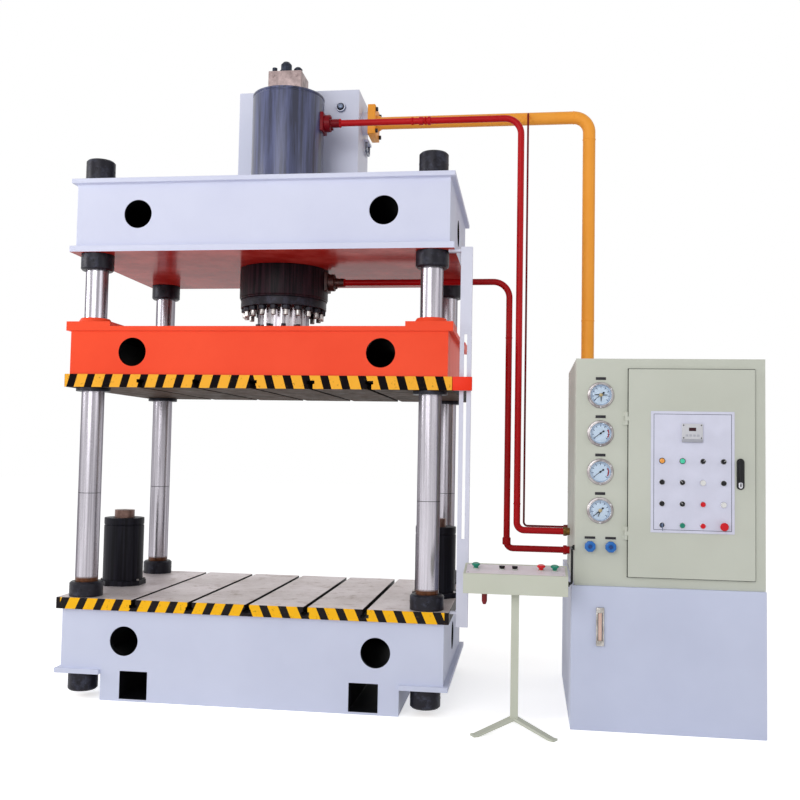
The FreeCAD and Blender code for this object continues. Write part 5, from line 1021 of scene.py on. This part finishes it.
# The tank's level tube hangs under a small shelf beside the suction flange, in dull chrome.
LEVEL_NEAR, LEVEL_FAR, LEVEL_DROP, LEVEL_ASIDE = 454, 550, 162, 29
level_x = suction_low.x - LEVEL_ASIDE
level_top, level_foot = suction_z - 100, suction_z - LEVEL_DROP
level_cover = piece(
    "tank_level_tube",
    [
        bent_tube(
            [
                (level_x, LEVEL_NEAR, level_top), (level_x, LEVEL_NEAR, level_foot),
                (level_x, LEVEL_FAR, level_foot), (level_x, LEVEL_FAR, level_top)],
            [16.8, 16.8], 7.6, around=20)],
    "press", bright_metal("level_tube_chrome", "#8b8f9c", "#484b56", 0.25))

# ------------------------------------------------------------------------------------------------
# Power unit: a welded oil tank in pale enamel with a glass level gauge, and above it a folded
# sheet cabinet in grey-green textured paint with its door, hinges and lever.
# ------------------------------------------------------------------------------------------------

oil_enamel = sprayed_enamel("oil_tank_enamel", "#cbd1e8", "#c1c7df", 0.42)
eased_copy("oil_tank", "press", oil_enamel, 3.0)
cabinet_paint = sprayed_enamel("cabinet_textured_paint", "#c7cabf", "#bfc2b6", 0.5)
eased_copy("cabinet", "press", cabinet_paint, 1.2)
eased_copy("door", "cabinet_door", cabinet_paint, 1.2)

level_low, level_high = (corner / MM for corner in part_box("oil_level_gauge"))
level_mid = (level_low.x + level_high.x) / 2
level_frame = piece(
    "level_gauge_frame",
    [
        block(
            (level_low.x, level_low.y, level_high.z - 26), (level_high.x, level_high.y, level_high.z), 2.5),
        block((level_low.x, level_low.y, level_low.z), (level_high.x, level_high.y, level_low.z + 26), 2.5),
        block(
            (level_low.x, level_low.y, level_low.z + 20),
            (level_low.x + 7, level_high.y, level_high.z - 20), 1.5),
        block(
            (level_high.x - 7, level_low.y, level_low.z + 20),
            (level_high.x, level_high.y, level_high.z - 20), 1.5),
        turned(
            eased_profile([(8, 0), (8, 3), (0, 3)], 1), (level_mid, level_low.y, level_high.z - 13),
            (0, -1, 0), around=28),
        turned(
            eased_profile([(8, 0), (8, 3), (0, 3)], 1), (level_mid, level_low.y, level_low.z + 13),
            (0, -1, 0), around=28)],
    "press", bright_metal("level_gauge_chrome", "#c9c6c2", "#8f8a85", 0.25))
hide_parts("oil_level_gauge")


def plain_shade(name, colour, roughness, coat=0.0):
    """Moulded plastic or lacquer: one even colour with a fine moulding grain."""
    material, tree, output = new_finish(name)
    place = add(tree, "TexCoord").outputs["Object"]
    grain = add(tree, "TexNoise", {"Vector": place, "Scale": 700.0, "Detail": 2.0})
    clouds = add(tree, "TexNoise", {"Vector": place, "Scale": 12.0, "Detail": 4.0})
    pale = [min(1.0, c * 1.2 + 0.002) for c in linear(colour)[:3]] + [1.0]
    tone = add(tree, "MapRange", {"Value": clouds, "From Min": 0.4, "From Max": 0.8, "To Max": 0.4})
    mixed = blend(tree, tone, colour, pale)
    bump = add(tree, "Bump", {"Height": grain, "Strength": 0.06, "Distance": 0.0003})
    shader = add(tree, "BsdfPrincipled", {"Base Color": mixed, "Roughness": roughness,
                                          "Specular IOR Level": SHEEN, "Normal": bump,
                                          "Coat Weight": coat})
    tree.links.new(shader.outputs[0], output.inputs["Surface"])
    return material


oil_tube = piece("level_gauge_oil", [block((level_mid - 9, level_low.y + 6, level_low.z + 24),
                                           (level_mid + 9, level_low.y + 11, level_high.z - 24), 2)],
                 "press", plain_shade("oil_behind_glass", "#d8b6a8", 0.15, coat=0.8))

cabinet_front = cabinet_low.y + 16
DOOR_WIDTH, DOOR_HEIGHT, DOOR_MARGIN, DOOR_BASE, SEAL = 600, 1022, 52, 50, 4
door_left, door_foot = cabinet_high.x - DOOR_MARGIN - DOOR_WIDTH, cabinet_low.z + DOOR_BASE
door_right, door_top = door_left + DOOR_WIDTH, door_foot + DOOR_HEIGHT
door_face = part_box("control_panel")[1].y / MM
black_nylon = plain_shade("black_nylon", "#0e0e11", 0.42)


def strip_frame(left, right_end, foot, top, front, back, width, edge=0.8):
    """Four thin strips round a rectangle on an upright face, just inside it."""
    return [block((left, front, foot), (right_end, back, foot + width), edge),
            block((left, front, top - width), (right_end, back, top), edge),
            block((left, front, foot), (left + width, back, top), edge),
            block((right_end - width, front, foot), (right_end, back, top), edge)]


# A dark rubber seal round the door; its dark strip also stands in for painted shade in the door's gap.
seal_and_gap_shade = piece("door_seal", strip_frame(door_left - SEAL, door_right + SEAL, door_foot - SEAL, door_top + SEAL,
                                      cabinet_front - 3, cabinet_front + 0.5, SEAL + 3), "press",
             plain_shade("seal_rubber", "#3a3d38", 0.6))
lever_low, lever_high = (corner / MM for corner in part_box("door_lever"))
lever_x = (lever_low.x + lever_high.x) / 2
lever_top, lever_foot = lever_high.z - 12, lever_low.z + 14


def lever_grip():
    """The lever: an oval section that narrows towards its lower end."""
    share = np.linspace(0, 1, 24)
    half_width = 12 - 4.5 * share ** 1.5
    thick = 6.5 - 2.0 * share
    drop = lever_top - share * (lever_top - lever_foot)
    angle = np.linspace(0, 2 * np.pi, 28, endpoint=False)[:, None]
    x = lever_x + half_width * np.sign(np.cos(angle)) * np.abs(np.cos(angle)) ** 0.75
    y = lever_low.y + 7 + thick * np.sign(np.sin(angle)) * np.abs(np.sin(angle)) ** 0.75
    return skin(np.stack([x, y, np.broadcast_to(drop, x.shape)], -1))


def stadium(x, z, face, thickness, radius, straight, edge=1.2):
    """A flat plate with half-round ends on an upright face: its outline runs round two half circles, and
    its front rings shrink by the edge."""
    angle = np.linspace(0, 2 * np.pi, 72, endpoint=False)[:, None]
    reach = radius - np.array([[0, 0, edge * 0.3, edge]])
    depth = np.array([[0, thickness - edge, thickness - edge * 0.3, thickness]])
    side = x + reach * np.cos(angle)
    rise = z + reach * np.sin(angle) + np.where(np.sin(angle) >= 0, 1, -1) * straight / 2
    return skin(np.stack([side, np.broadcast_to(face - depth, side.shape), rise], -1))


lever = piece("lever_grip", [lever_grip(), turned(eased_profile([(0, 0), (12, 0), (12, 13), (0, 13)], 3),
                                                  (lever_x, lever_high.y, lever_top), (0, -1, 0), around=40)],
              "door_handle", black_nylon)
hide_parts("door_lever")
PLATE_BASE, PLATE_RADIUS, PLATE_STRAIGHT, PLATE_DEPTH, LOCK_RISE = 438, 18.1, 115, 6.25, 21
plate_foot = door_foot + PLATE_BASE
handle_plate = piece("handle_plate", [stadium(lever_x, plate_foot + 75, door_face, PLATE_DEPTH, PLATE_RADIUS,
                                              PLATE_STRAIGHT)], "cabinet_door", black_nylon)
lock = piece(
    "door_lock", [stadium(lever_x, plate_foot + LOCK_RISE, door_face - PLATE_DEPTH + 0.5, 4, 10, 11)],
    "cabinet_door", bright_metal("lock_chrome", "#d5d5da", "#a5a5ac", 0.22))
# The keyhole is a black block on the lock's face: painted shade of the hole.
keyhole_shade = piece(
    "lock_keyhole",
    [
        block(
            (lever_x - 3, door_face - PLATE_DEPTH - 3.9, plate_foot + LOCK_RISE - 8),
            (lever_x + 3, door_face - PLATE_DEPTH, plate_foot + LOCK_RISE + 6), 1)],
    "cabinet_door", black_nylon)

# ------------------------------------------------------------------------------------------------
# Control panel: a pale lacquered sheet with four rows of 22 mm controls in chromed bezels, each
# clamped in its own bore, and a counter in a plastic case screwed on above them.
# ------------------------------------------------------------------------------------------------

panel_low, panel_high = (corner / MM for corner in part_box("control_panel"))
panel_face = panel_low.y + 5
panel_sheet = plain_shade("lacquered_panel_sheet", "#d3d4e6", 0.38)
bezel_chrome = bright_metal("bezel_chrome", "#d5d5da", "#a5a5ac", 0.2)
KEY_COLUMN, KEY_SPACING, KEY_ROW, KEY_RISE = 53, 97, 37, 104.5
BEZEL, BEZEL_BORE, CAP_RADIUS = 15.2, 12.4, 12.2


def key_centre(column, row):
    """Middle of a control on the panel, counted from its upper left one, in even steps both ways."""
    return panel_low.x + KEY_COLUMN + column * KEY_SPACING, panel_low.z + KEY_ROW + (3 - row) * KEY_RISE


eased_copy("control_panel", "cabinet_door", panel_sheet, 0.6)
BORDER, BORDER_WIDTH = 13, 2.5
border = piece(
    "panel_border",
    strip_frame(
        panel_low.x + BORDER, panel_high.x - BORDER, panel_low.z + BORDER, panel_high.z - BORDER,
        panel_face - 0.3, panel_face + 1, BORDER_WIDTH, 0.15),
    "cabinet_door", plain_shade("panel_border_ink", "#55586a", 0.5))
outward = (0, -1, 0)
key_places = [key_centre(column, row) for column in range(4) for row in range(4)]
bezels = piece(
    "control_bezels",
    [
        turned(
            eased_profile(
                [(BEZEL_BORE, -1), (BEZEL, -1), (BEZEL, 4.2), (BEZEL - 1, 5.2), (BEZEL_BORE, 5.2)], 0.6),
            (x, panel_face, z), outward, around=48, closed=True)
        for x, z in key_places],
    "cabinet_door", bezel_chrome)

PLASTICS = {"black": plain_shade("black_button_plastic", "#0e0d10", 0.35),
            "white": plain_shade("white_button_plastic", "#dededc", 0.35),
            "red": plain_shade("red_button_plastic", "#cc1420", 0.3),
            "green": plain_shade("green_button_plastic", "#1d8069", 0.3)}


def cap_profile(radius, foot, face):
    """A push button's cap: straight wall, rounded rim, slightly dished face."""
    return np.concatenate(
        [
            eased_profile([(0, foot), (radius, foot), (radius, face), (radius * 0.82, face)], 1.6),
            [(radius * 0.6, face - 0.5), (radius * 0.3, face - 0.9), (0, face - 1.0)]])


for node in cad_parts:
    if "_button_" not in node and node != "green_button":
        continue
    low, high = (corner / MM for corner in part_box(node))
    centre = ((low.x + high.x) / 2, high.y, (low.z + high.z) / 2)
    colour = node.split("_")[0]
    cap = piece(
        node + "_cap", [turned(cap_profile(CAP_RADIUS, 0, high.y - low.y), centre, outward, around=44)],
        node + "_body", PLASTICS[colour])
    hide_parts(node)


def leaned(shape, x, z, degrees):
    """A shape on an upright face, turned clockwise about a point of that face."""
    points, faces = shape
    turn = math.radians(degrees)
    side, rise = points[:, 0] - x, points[:, 2] - z
    return np.stack([x + side * math.cos(turn) + rise * math.sin(turn), points[:, 1],
                     z - side * math.sin(turn) + rise * math.cos(turn)], -1), faces


for node, lean in (("selector_top_left", 45), ("selector_top_right", 45), ("selector_middle", -45),
                   ("selector_low", -45)):
    low, high = (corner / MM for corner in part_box(node))
    x, z = (low.x + high.x) / 2, (low.z + high.z) / 2
    shapes = [
        turned(
            eased_profile([(0, 0), (CAP_RADIUS, 0), (CAP_RADIUS, 11), (0, 11)], 1.5), (x, high.y, z),
            outward, around=44),
        leaned(block((x - 4, low.y, z - 11), (x + 4, high.y - 8, z + 11), 2.5), x, z, lean)]
    selector = piece(node + "_knob", shapes, node + "_body", PLASTICS["black"])
    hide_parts(node)
    mark = piece(
        node + "_mark",
        [leaned(block((x - 1, low.y - 0.3, z + 1), (x + 1, low.y + 1, z + 10), 0.3), x, z, lean)],
        node + "_body", PLASTICS["white"])

key_low, key_high = (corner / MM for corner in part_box("key_switch"))
key_x, key_z = key_centre(0, 3)
key_ring = piece(
    "key_ring",
    [
        turned(
            eased_profile([(0, 0), (CAP_RADIUS, 0), (CAP_RADIUS, 10), (9, 11), (6, 11), (6, 8), (0, 8)], 1),
            (key_x, key_high.y, key_z), outward, around=44)],
    "key_lock", plain_shade("key_ring_lacquer", "#3b4254", 0.35))
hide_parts("key_switch")
key = piece(
    "key_blade",
    [
        turned(
            eased_profile([(0, 7), (6, 7), (6, 9), (0, 9)], 0.6), (key_x, key_high.y, key_z), outward,
            around=32),
        block((key_x - 1.5, key_low.y, key_low.z), (key_x + 1.5, key_low.y + 11, key_high.z - 2), 1.4),
        block((key_x - 1.2, key_low.y + 8, key_z - 3.5), (key_x + 1.2, key_high.y - 6, key_z + 3.5), 0.6)],
    "key_lock", bright_metal("key_steel", "#6a7894", "#49546b", 0.3))

stop_low, stop_high = (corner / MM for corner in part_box("emergency_stop"))
stop_x, stop_z = key_centre(3, 3)
stop_depth = stop_high.y - stop_low.y
stop_profile = np.concatenate(
    [
        eased_profile(
            [
                (0, 0), (CAP_RADIUS, 0), (CAP_RADIUS, stop_depth - 14), (20, stop_depth - 14),
                (20, stop_depth - 5), (16, stop_depth)],
            2.2),
        [(11, stop_depth), (5, stop_depth), (0, stop_depth)]])
stop = piece(
    "stop_mushroom", [turned(stop_profile, (stop_x, stop_high.y, stop_z), outward, around=56)],
    "stop_button", PLASTICS["red"])
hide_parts("emergency_stop")


def lamp_lens(name, colour, glow):
    """A lamp lens moulded in clear coloured plastic over a white diffuser."""
    material, tree, output = new_finish(name)
    place = add(tree, "TexCoord").outputs["Object"]
    ribs = add(tree, "TexWave", {"Vector": place, "Scale": 420.0}, bands_direction="Z")
    bump = add(tree, "Bump", {"Height": ribs.outputs["Fac"], "Strength": 0.15, "Distance": 0.0004})
    shader = add(tree, "BsdfPrincipled", {"Base Color": linear(colour), "Roughness": 0.18, "Normal": bump,
                                          "Subsurface Weight": 0.2, "Coat Weight": 0.5,
                                          "Emission Color": linear(colour), "Emission Strength": glow})
    tree.links.new(shader.outputs[0], output.inputs["Surface"])
    return material


lamp_low, lamp_high = (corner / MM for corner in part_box("indicator_lamps"))
lamp_depth = lamp_high.y - lamp_low.y
lens_profile = [
    (0, 0), (CAP_RADIUS, 0), (CAP_RADIUS, lamp_depth - 6), (10.6, lamp_depth - 2.6), (7, lamp_depth - 0.7),
    (0, lamp_depth)]
rim_lacquer = plain_shade("lamp_rim_lacquer", "#33362f", 0.4)
for column, (tone, colour) in enumerate((("amber", "#e8942a"), ("green", "#2fc39c"))):
    x, z = key_centre(column, 0)
    lens = piece(
        "lamp_lens_" + tone,
        [turned(eased_profile(lens_profile, 1), (x, lamp_high.y, z), outward, around=44)], "cabinet_door",
        lamp_lens("lamp_lens_" + tone, colour, 0.12))
    if column == 0:
        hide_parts("indicator_lamps")
    rim = piece("lamp_rim_" + tone, [turned(eased_profile([(12.3, 5), (14.6, 5), (14.6, 8), (12.3, 9)], 0.5),
                                            (x, panel_face, z), outward, around=44, closed=True)],
                "cabinet_door", rim_lacquer)

counter_low, counter_high = (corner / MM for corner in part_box("counter"))
LIP = 14
counter = piece("counter_case", [block((counter_low.x, counter_low.y, counter_low.z + LIP), counter_high, 3)],
                "cabinet_door", plain_shade("counter_case_plastic", "#c9c9cf", 0.45))
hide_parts("counter")
lip = piece("counter_lip", [block(counter_low, (counter_high.x, counter_high.y, counter_low.z + LIP + 1), 3)],
            "cabinet_door", plain_shade("counter_lip_plastic", "#a3a4ad", 0.45))
mid_x = (counter_low.x + counter_high.x) / 2
window_z = counter_high.z - 28
display = piece("counter_window", [block((mid_x - 17, counter_low.y - 0.8, window_z - 8.5),
                                         (mid_x + 17, counter_low.y + 2, window_z + 8.5), 1)],
                "cabinet_door", plain_shade("display_window", "#35101b", 0.2))
keys = piece(
    "counter_keys",
    [
        block(
            (mid_x - 33 + 18 * n, counter_low.y - 1.0, counter_low.z + 28),
            (mid_x - 21 + 18 * n, counter_low.y + 2, counter_low.z + 38), 1)
        for n in range(4)],
    "cabinet_door", plain_shade("counter_key_plastic", "#aeafb8", 0.4))
counter_screws = piece(
    "counter_screws",
    [
        turned(
            eased_profile([(0, -1), (3, -1), (3, 1.4), (0, 1.8)], 0.5), (x, counter_low.y, z), outward,
            around=20)
        for x in (counter_low.x + 8, counter_high.x - 8)
        for z in (counter_low.z + LIP + 7, counter_high.z - 8)],
    "cabinet_door", black_steel)

# ------------------------------------------------------------------------------------------------
# Gauges: pressed steel cases with polished rings, pale enamelled dials and glass, two of them with a
# contact boss. Two blue plastic valve knobs are below them. A small black plate sits above each one.
# ------------------------------------------------------------------------------------------------

gauge_low, gauge_high = (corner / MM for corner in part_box("gauge_cases"))
GAUGE_FLANGE, GAUGE_SPACING, GAUGE_SCREW_CIRCLE = 65, 190.6, 59.5
HALF_SWEEP, DIAL_EDGE = 2.36, 0.0455
gauge_x = (gauge_low.x + gauge_high.x) / 2
gauge_tops = gauge_high.z - GAUGE_FLANGE
gauge_steel = bright_metal("polished_gauge_ring", "#cfd0d6", "#9496a0", 0.2)


def dial_enamel(name, x, top_z):
    """White dial enamel with a ring of black graduations: strokes stand where the angle round the
    nearest dial's centre falls near a multiple of the step, between two radii. The dials stand in even
    steps below the top one."""
    material, tree, output = new_finish(name)
    place = add(tree, "TexCoord").outputs["Object"]
    axes = add(tree, "SeparateXYZ", {"Vector": place})
    dx = maths(tree, "SUBTRACT", axes.outputs["X"], x * MM)
    step = GAUGE_SPACING * MM
    dz = maths(tree, "SUBTRACT", axes.outputs["Z"], top_z * MM - step * 8.5)
    dz = maths(tree, "FLOORED_MODULO", dz, step)
    dz = maths(tree, "SUBTRACT", dz, step / 2)
    squared = maths(tree, "POWER", dx, 2.0)
    squared_z = maths(tree, "POWER", dz, 2.0)
    radius = maths(tree, "ADD", squared, squared_z)
    radius = maths(tree, "SQRT", radius)
    angle = maths(tree, "ARCTAN2", dx, dz)
    sweep = maths(tree, "ABSOLUTE", angle)
    allowed = maths(tree, "LESS_THAN", sweep, HALF_SWEEP)
    masks = []
    for count, near, far, width in ((54, 0.039, 0.044, 0.16), (11, 0.033, 0.044, 0.08)):
        turns = maths(tree, "MULTIPLY", angle, count / (2 * math.pi))
        part = maths(tree, "FRACT", turns)
        off = maths(tree, "SUBTRACT", part, 0.5)
        off = maths(tree, "ABSOLUTE", off)
        stroke = maths(tree, "GREATER_THAN", off, 0.5 - width)
        outside = maths(tree, "GREATER_THAN", radius, near)
        within = maths(tree, "LESS_THAN", radius, far)
        both = maths(tree, "MULTIPLY", stroke, outside)
        masks.append(maths(tree, "MULTIPLY", both, within))
    ink = maths(tree, "MAXIMUM", *masks)
    ink = maths(tree, "MULTIPLY", ink, allowed)
    # Painted shade: the dial goes greyer near its edge, under the raised rim.
    rim_shade = maths(tree, "GREATER_THAN", radius, DIAL_EDGE)
    tone = blend(tree, ink, "#eef3fc", "#4f5f80")
    tone = blend(tree, rim_shade, tone, "#c5d0e2")
    shader = add(tree, "BsdfPrincipled", {"Base Color": tone, "Roughness": 0.35})
    tree.links.new(shader.outputs[0], output.inputs["Surface"])
    return material


DIAL, DIAL_DEPTH, TAIL = 50.6, 12.2, 17
dial_white = dial_enamel("dial_enamel", gauge_x, gauge_tops)
cases, rims, dials, needles, arcs, bosses, contacts, windows, screws, tags = ([] for _ in range(10))
NEEDLE_ANGLES = (-128, -126, -128, -131)
CONTACT_ANGLES = {0: (-86, 90, 178), 3: (198, 228)}


def arc_band(x, z, y, inner, outer, start, end):
    """A flat band round part of a dial, between two clock angles in degrees."""
    angle = np.radians(np.linspace(start, end, 24))[:, None]
    radius = np.array([[inner, outer]])
    side = x + radius * np.sin(angle)
    return skin(np.stack([side, np.full(side.shape, y), z + radius * np.cos(angle)], -1), False, False, False)


def pointer(at, clock, start, end, wide, narrow, lift):
    """A thin pointer with a diamond section, from one distance to another along a clock angle."""
    turn = math.radians(clock)
    tip = np.array((math.sin(turn), 0, math.cos(turn)))
    across = np.array((math.cos(turn), 0, -math.sin(turn)))
    share = np.linspace(0, 1, 6)[:, None]
    spine = np.array(at) - np.array((0, lift, 0)) + (start + (end - start) * share) * tip
    width, thick = (wide + (narrow - wide) * share) * across, np.array((0, 0.5, 0))
    return skin(np.stack([spine + width, spine - thick, spine - width, spine + thick]))


for number in range(4):
    z = gauge_tops - number * GAUGE_SPACING
    at = (gauge_x, gauge_high.y, z)
    cases.append(
        turned(
            eased_profile(
                [(0, 0), (GAUGE_FLANGE, 0), (GAUGE_FLANGE, 5), (62, 8), (56, 9), (55, 13), (DIAL, 13)],
                1.2),
            at, outward, around=96))
    rims.append(
        turned(
            eased_profile([(DIAL, 12), (54, 12), (54, 21), (53, 24), (51.4, 24), (DIAL, 22)], 0.8), at,
            outward, around=96, closed=True))
    dials.append(turned([(0, DIAL_DEPTH), (DIAL, DIAL_DEPTH)], at, outward, around=72))
    clock = NEEDLE_ANGLES[number]
    needles.append(pointer(at, clock, -TAIL, 40, 2.2, 0.8, 14.4))
    tail = np.array(at) + TAIL * np.array((-math.sin(math.radians(clock)), 0, -math.cos(math.radians(clock))))
    needles.append(turned([(0, 13.8), (4.8, 13.8), (4.8, 15), (0, 15)], tail, outward, around=24))
    if number in CONTACT_ANGLES:
        bosses.append(
            turned(
                eased_profile([(0, 12), (9, 12), (9, 18), (6, 19.5), (0, 19.5)], 0.8), at, outward,
                around=40))
        contacts += [pointer(at, heading, 8, 32, 2.8, 1.6, 16.4) for heading in CONTACT_ANGLES[number]]
    else:
        needles.append(
            turned(eased_profile([(0, 12), (5, 12), (5, 16), (0, 16.6)], 0.8), at, outward, around=28))
        arcs.append(arc_band(gauge_x, z, gauge_high.y - DIAL_DEPTH - 0.3, 36, 42, 62, 122))
    windows.append(
        turned(
            eased_profile([(0, 20.5), (DIAL - 0.1, 20.5), (DIAL - 0.1, 22.5), (0, 23.0)], 0.3), at, outward,
            around=72))
    for turn in (30, 150, 270):
        heading = math.radians(turn)
        spot = (
            gauge_x + GAUGE_SCREW_CIRCLE * math.cos(heading), gauge_high.y,
            z + GAUGE_SCREW_CIRCLE * math.sin(heading))
        screws.append(
            turned(eased_profile([(0, 6), (4, 6), (4, 9.6), (0, 10)], 0.8), spot, outward, around=20))
    tags.append(
        block((gauge_x - 25, cabinet_front - 1.6, z + 76), (gauge_x + 25, cabinet_front, z + 90), 0.6))
gauge_cases = piece(
    "gauge_backs", cases, "press", bright_metal("gauge_case_steel", "#b9b4b4", "#7d7577", 0.32))
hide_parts("gauge_cases")
needle_black = plain_shade("needle_lacquer", "#1c1c20", 0.35)
for name, shapes, finish in (
    ("gauge_rings", rims, gauge_steel), ("gauge_dials", dials, dial_white),
    ("gauge_needles", needles, needle_black), ("gauge_contacts", contacts, needle_black),
    ("gauge_red_arcs", arcs, plain_shade("dial_red_ink", "#b3262b", 0.4)),
    ("gauge_bosses", bosses, bright_metal("gauge_brass", "#e2c596", "#a98a5a", 0.3)),
    ("gauge_screws", screws, bezel_chrome)):
    piece(name, shapes, "press", finish)
blank_plate = plain_shade("blank_tag_lacquer", "#26242a", 0.4)


def clear_glass(name):
    """Thin flat glass: clear seen straight on, and mirroring more towards a grazing view."""
    material, tree, output = new_finish(name)
    shader = add(tree, "BsdfPrincipled", {"Base Color": linear("#f4f9fc"), "Roughness": 0.03,
                                          "Transmission Weight": 1.0, "IOR": 1.45})
    clear = add(tree, "BsdfTransparent", {"Color": linear("#f2f6f9")})
    edge = add(tree, "LayerWeight", {"Blend": 0.25})
    blended = add(tree, "MixShader", {"Fac": edge.outputs["Facing"], 1: clear, 2: shader})
    tree.links.new(blended.outputs[0], output.inputs["Surface"])
    return material


glasses = piece("gauge_windows", windows, "press", clear_glass("gauge_glass"))
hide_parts("gauge_glasses")

blue_plastic = plain_shade("blue_knob_plastic", "#1e66b4", 0.3, coat=0.2)
# The knobs' centre caps are a darker blue: painted shade of their hollow centres.
blue_centre_shade = plain_shade("blue_centre_plastic_painted_shade", "#123a78", 0.3, coat=0.2)
for side, node in (("left", "valve_knob_left"), ("right", "valve_knob_right")):
    low, high = (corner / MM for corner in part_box(node))
    x, z = (low.x + high.x) / 2, (low.z + high.z) / 2
    tags.append(block((x - 26, cabinet_front - 1.6, z + 36), (x + 26, cabinet_front, z + 48), 0.6))
    depth = high.y - low.y
    angle = np.linspace(0, 2 * np.pi, 96, endpoint=False)
    lobes = 1 - 0.055 * (0.5 + 0.5 * np.cos(8 * angle)) ** 2
    heights = np.array([0, 1.5, 5, depth - 6, depth - 1.5, depth, depth, depth - 2])
    radii = np.array([24.5, 26.8, 27.5, 27.5, 26, 23, 13, 11])
    weight = np.array([1, 1, 1, 1, 1, 0.6, 0, 0])
    reach = radii[None, :] * (1 - (1 - lobes[:, None]) * weight[None, :])
    points = np.stack([x + reach * np.cos(angle)[:, None], np.broadcast_to(high.y - heights, reach.shape),
                       z + reach * np.sin(angle)[:, None]], -1)
    knob = piece(node + "_grip", [skin(points)], side + "_valve_knob", blue_plastic)
    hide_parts(node)
    cap = piece(node + "_cap", [turned(eased_profile([(0, depth - 3), (10, depth - 3), (10, depth - 0.5),
                                                      (4.5, depth), (0, depth)], 1), (x, high.y, z), outward,
                                       around=36)], side + "_valve_knob", blue_centre_shade)
blank_tags = piece("blank_tags", tags, "press", blank_plate)

# ------------------------------------------------------------------------------------------------
# Operator's console: a folded sheet desk with a recessed pale plate, three mushroom buttons and two
# selectors, on a square post with three flat-bar legs.
# ------------------------------------------------------------------------------------------------

console_paint = sprayed_enamel("console_textured_paint", "#c9ccbe", "#c0c3b4", 0.5)
eased_copy("console_box", "press", console_paint, 1.0)
eased_copy("console_stand", "press", console_paint, 1.2)
console_low, console_high = (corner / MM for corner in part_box("console_box"))
FRONT_TOP, BACK_TOP = 762, 795
slope = math.atan((BACK_TOP - FRONT_TOP) / (console_high.y - console_low.y))
console_x = (console_low.x + console_high.x) / 2
console_y = (console_low.y + console_high.y) / 2
console_top = (FRONT_TOP + BACK_TOP) / 2
normal = np.array((0, -math.sin(slope), math.cos(slope)))
uphill = np.array((0, math.cos(slope), math.sin(slope)))


def on_slope(dx, up_slope=0.0):
    """A point on the console's sloped top: its middle, moved along X and then uphill."""
    return np.array((console_x + dx, console_y, console_top)) + up_slope * uphill


def slope_block(left, right_end, low, high, bottom, top, edge):
    """A thin block that lies on the sloped top."""
    points, faces = block((left, low, bottom), (right_end, high, top), edge)
    turned_points = (np.array((console_x, console_y, console_top)) + points[:, :1] * np.array((1, 0, 0))
                     + points[:, 1:2] * uphill + points[:, 2:] * normal)
    return turned_points, faces


LEFT_GREEN, LEFT_SELECTOR, RIGHT_SELECTOR, RED, RIGHT_GREEN = -193, -66, -4, 123, 188
legend_plate = piece("console_legend_plate", [slope_block(-238, 238, -68, 68, -2.4, -0.6, 0.5)], "press",
                     plain_shade("console_plate_lacquer", "#ddd3da", 0.4))
plate_screws = piece(
    "console_plate_screws",
    [
        turned(eased_profile([(3.6, -0.8), (3.6, 1.2), (0, 1.8)], 0.6), on_slope(dx, dy), normal, around=20)
        for dx in (-228, 228) for dy in (-58, 58)],
    "press", bezel_chrome)
collar_steel = piece(
    "console_collars",
    [
        turned(
            eased_profile([(11.4, -2), (14.5, -2), (14.5, 4), (13, 5.2), (11.4, 5.2)], 0.8), on_slope(dx),
            normal, around=44)
        for dx in (LEFT_GREEN, LEFT_SELECTOR, RIGHT_SELECTOR, RED, RIGHT_GREEN)],
    "press", bezel_chrome)
for node, dx, colour in (("console_green_left", LEFT_GREEN, "green"), ("console_red", RED, "red"),
                         ("console_green_right", RIGHT_GREEN, "green")):
    profile = np.concatenate(
        [
            eased_profile([(0, -6), (11.1, -6), (11.1, 11.4), (20, 19.4), (20, 23.4), (15, 27.4)], 1.8),
            [(9, 27.4), (0, 27.4)]])
    cap = piece(
        node + "_cap", [turned(profile, on_slope(dx), normal, around=56)], node + "_body", PLASTICS[colour])
    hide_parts(node)
for node, dx in (("console_selector_left", LEFT_SELECTOR), ("console_selector_right", RIGHT_SELECTOR)):
    knob = piece(
        node + "_knob",
        [
            turned(
                eased_profile([(0, -6), (11.1, -6), (11.1, 10), (0, 10)], 1.6), on_slope(dx), normal,
                around=44),
            slope_block(dx - 14, dx + 14, -4, 4, 8, 18, 2.5)],
        node + "_body", PLASTICS["black"])
    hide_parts(node)

# The plug hangs in shade under the console: its red is painted dark, as painted shade.
plug_red_shaded = plain_shade("red_plug_plastic_painted_shade", "#7a1218", 0.35)
PLUG_AT = (console_x - 150, console_y, 607)
plug = piece(
    "console_plug",
    [turned(eased_profile([(0, -1), (7.2, -1), (13.2, 14), (13.2, 61)], 2.5), PLUG_AT, around=44)], "press",
    plug_red_shaded)
CONDUIT_Y, CONDUIT_TOP, CONDUIT_LOW = -560, 880, 717
conduit_out = console_high.x + 20
conduit = piece(
    "conduit_hose",
    [
        bent_tube(
            [
                (console_high.x, console_y, CONDUIT_LOW), (conduit_out, console_y, CONDUIT_LOW),
                (conduit_out, console_y, CONDUIT_TOP), (conduit_out, CONDUIT_Y, CONDUIT_TOP),
                (CABINET_SIDE, CONDUIT_Y, CONDUIT_TOP)],
            [16, 16, 16], 6, around=20),
        hexagon(22, -1, 10, (console_high.x, console_y, CONDUIT_LOW), along_x),
        hexagon(22, -10, 1, (CABINET_SIDE, CONDUIT_Y, CONDUIT_TOP), along_x)],
    "press", black_nylon)
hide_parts("console_conduit")

# ------------------------------------------------------------------------------------------------
# Hidden pieces keep their CAD shape: switchgear behind the door, the motor and pump, and the ring
# nut inside the crown.
# ------------------------------------------------------------------------------------------------


def dress(node, finish):
    """Give a CAD node's own mesh a finish."""
    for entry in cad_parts[node].material_slots:
        entry.material = finish


dress("switchgear", plain_shade("switchgear_plastic", "#3d4046", 0.45))
dress("motor_pump_set", sprayed_enamel("motor_enamel", "#5a6f80", "#4c606f", 0.45))
dress("cylinder_lock_nut", black_steel)
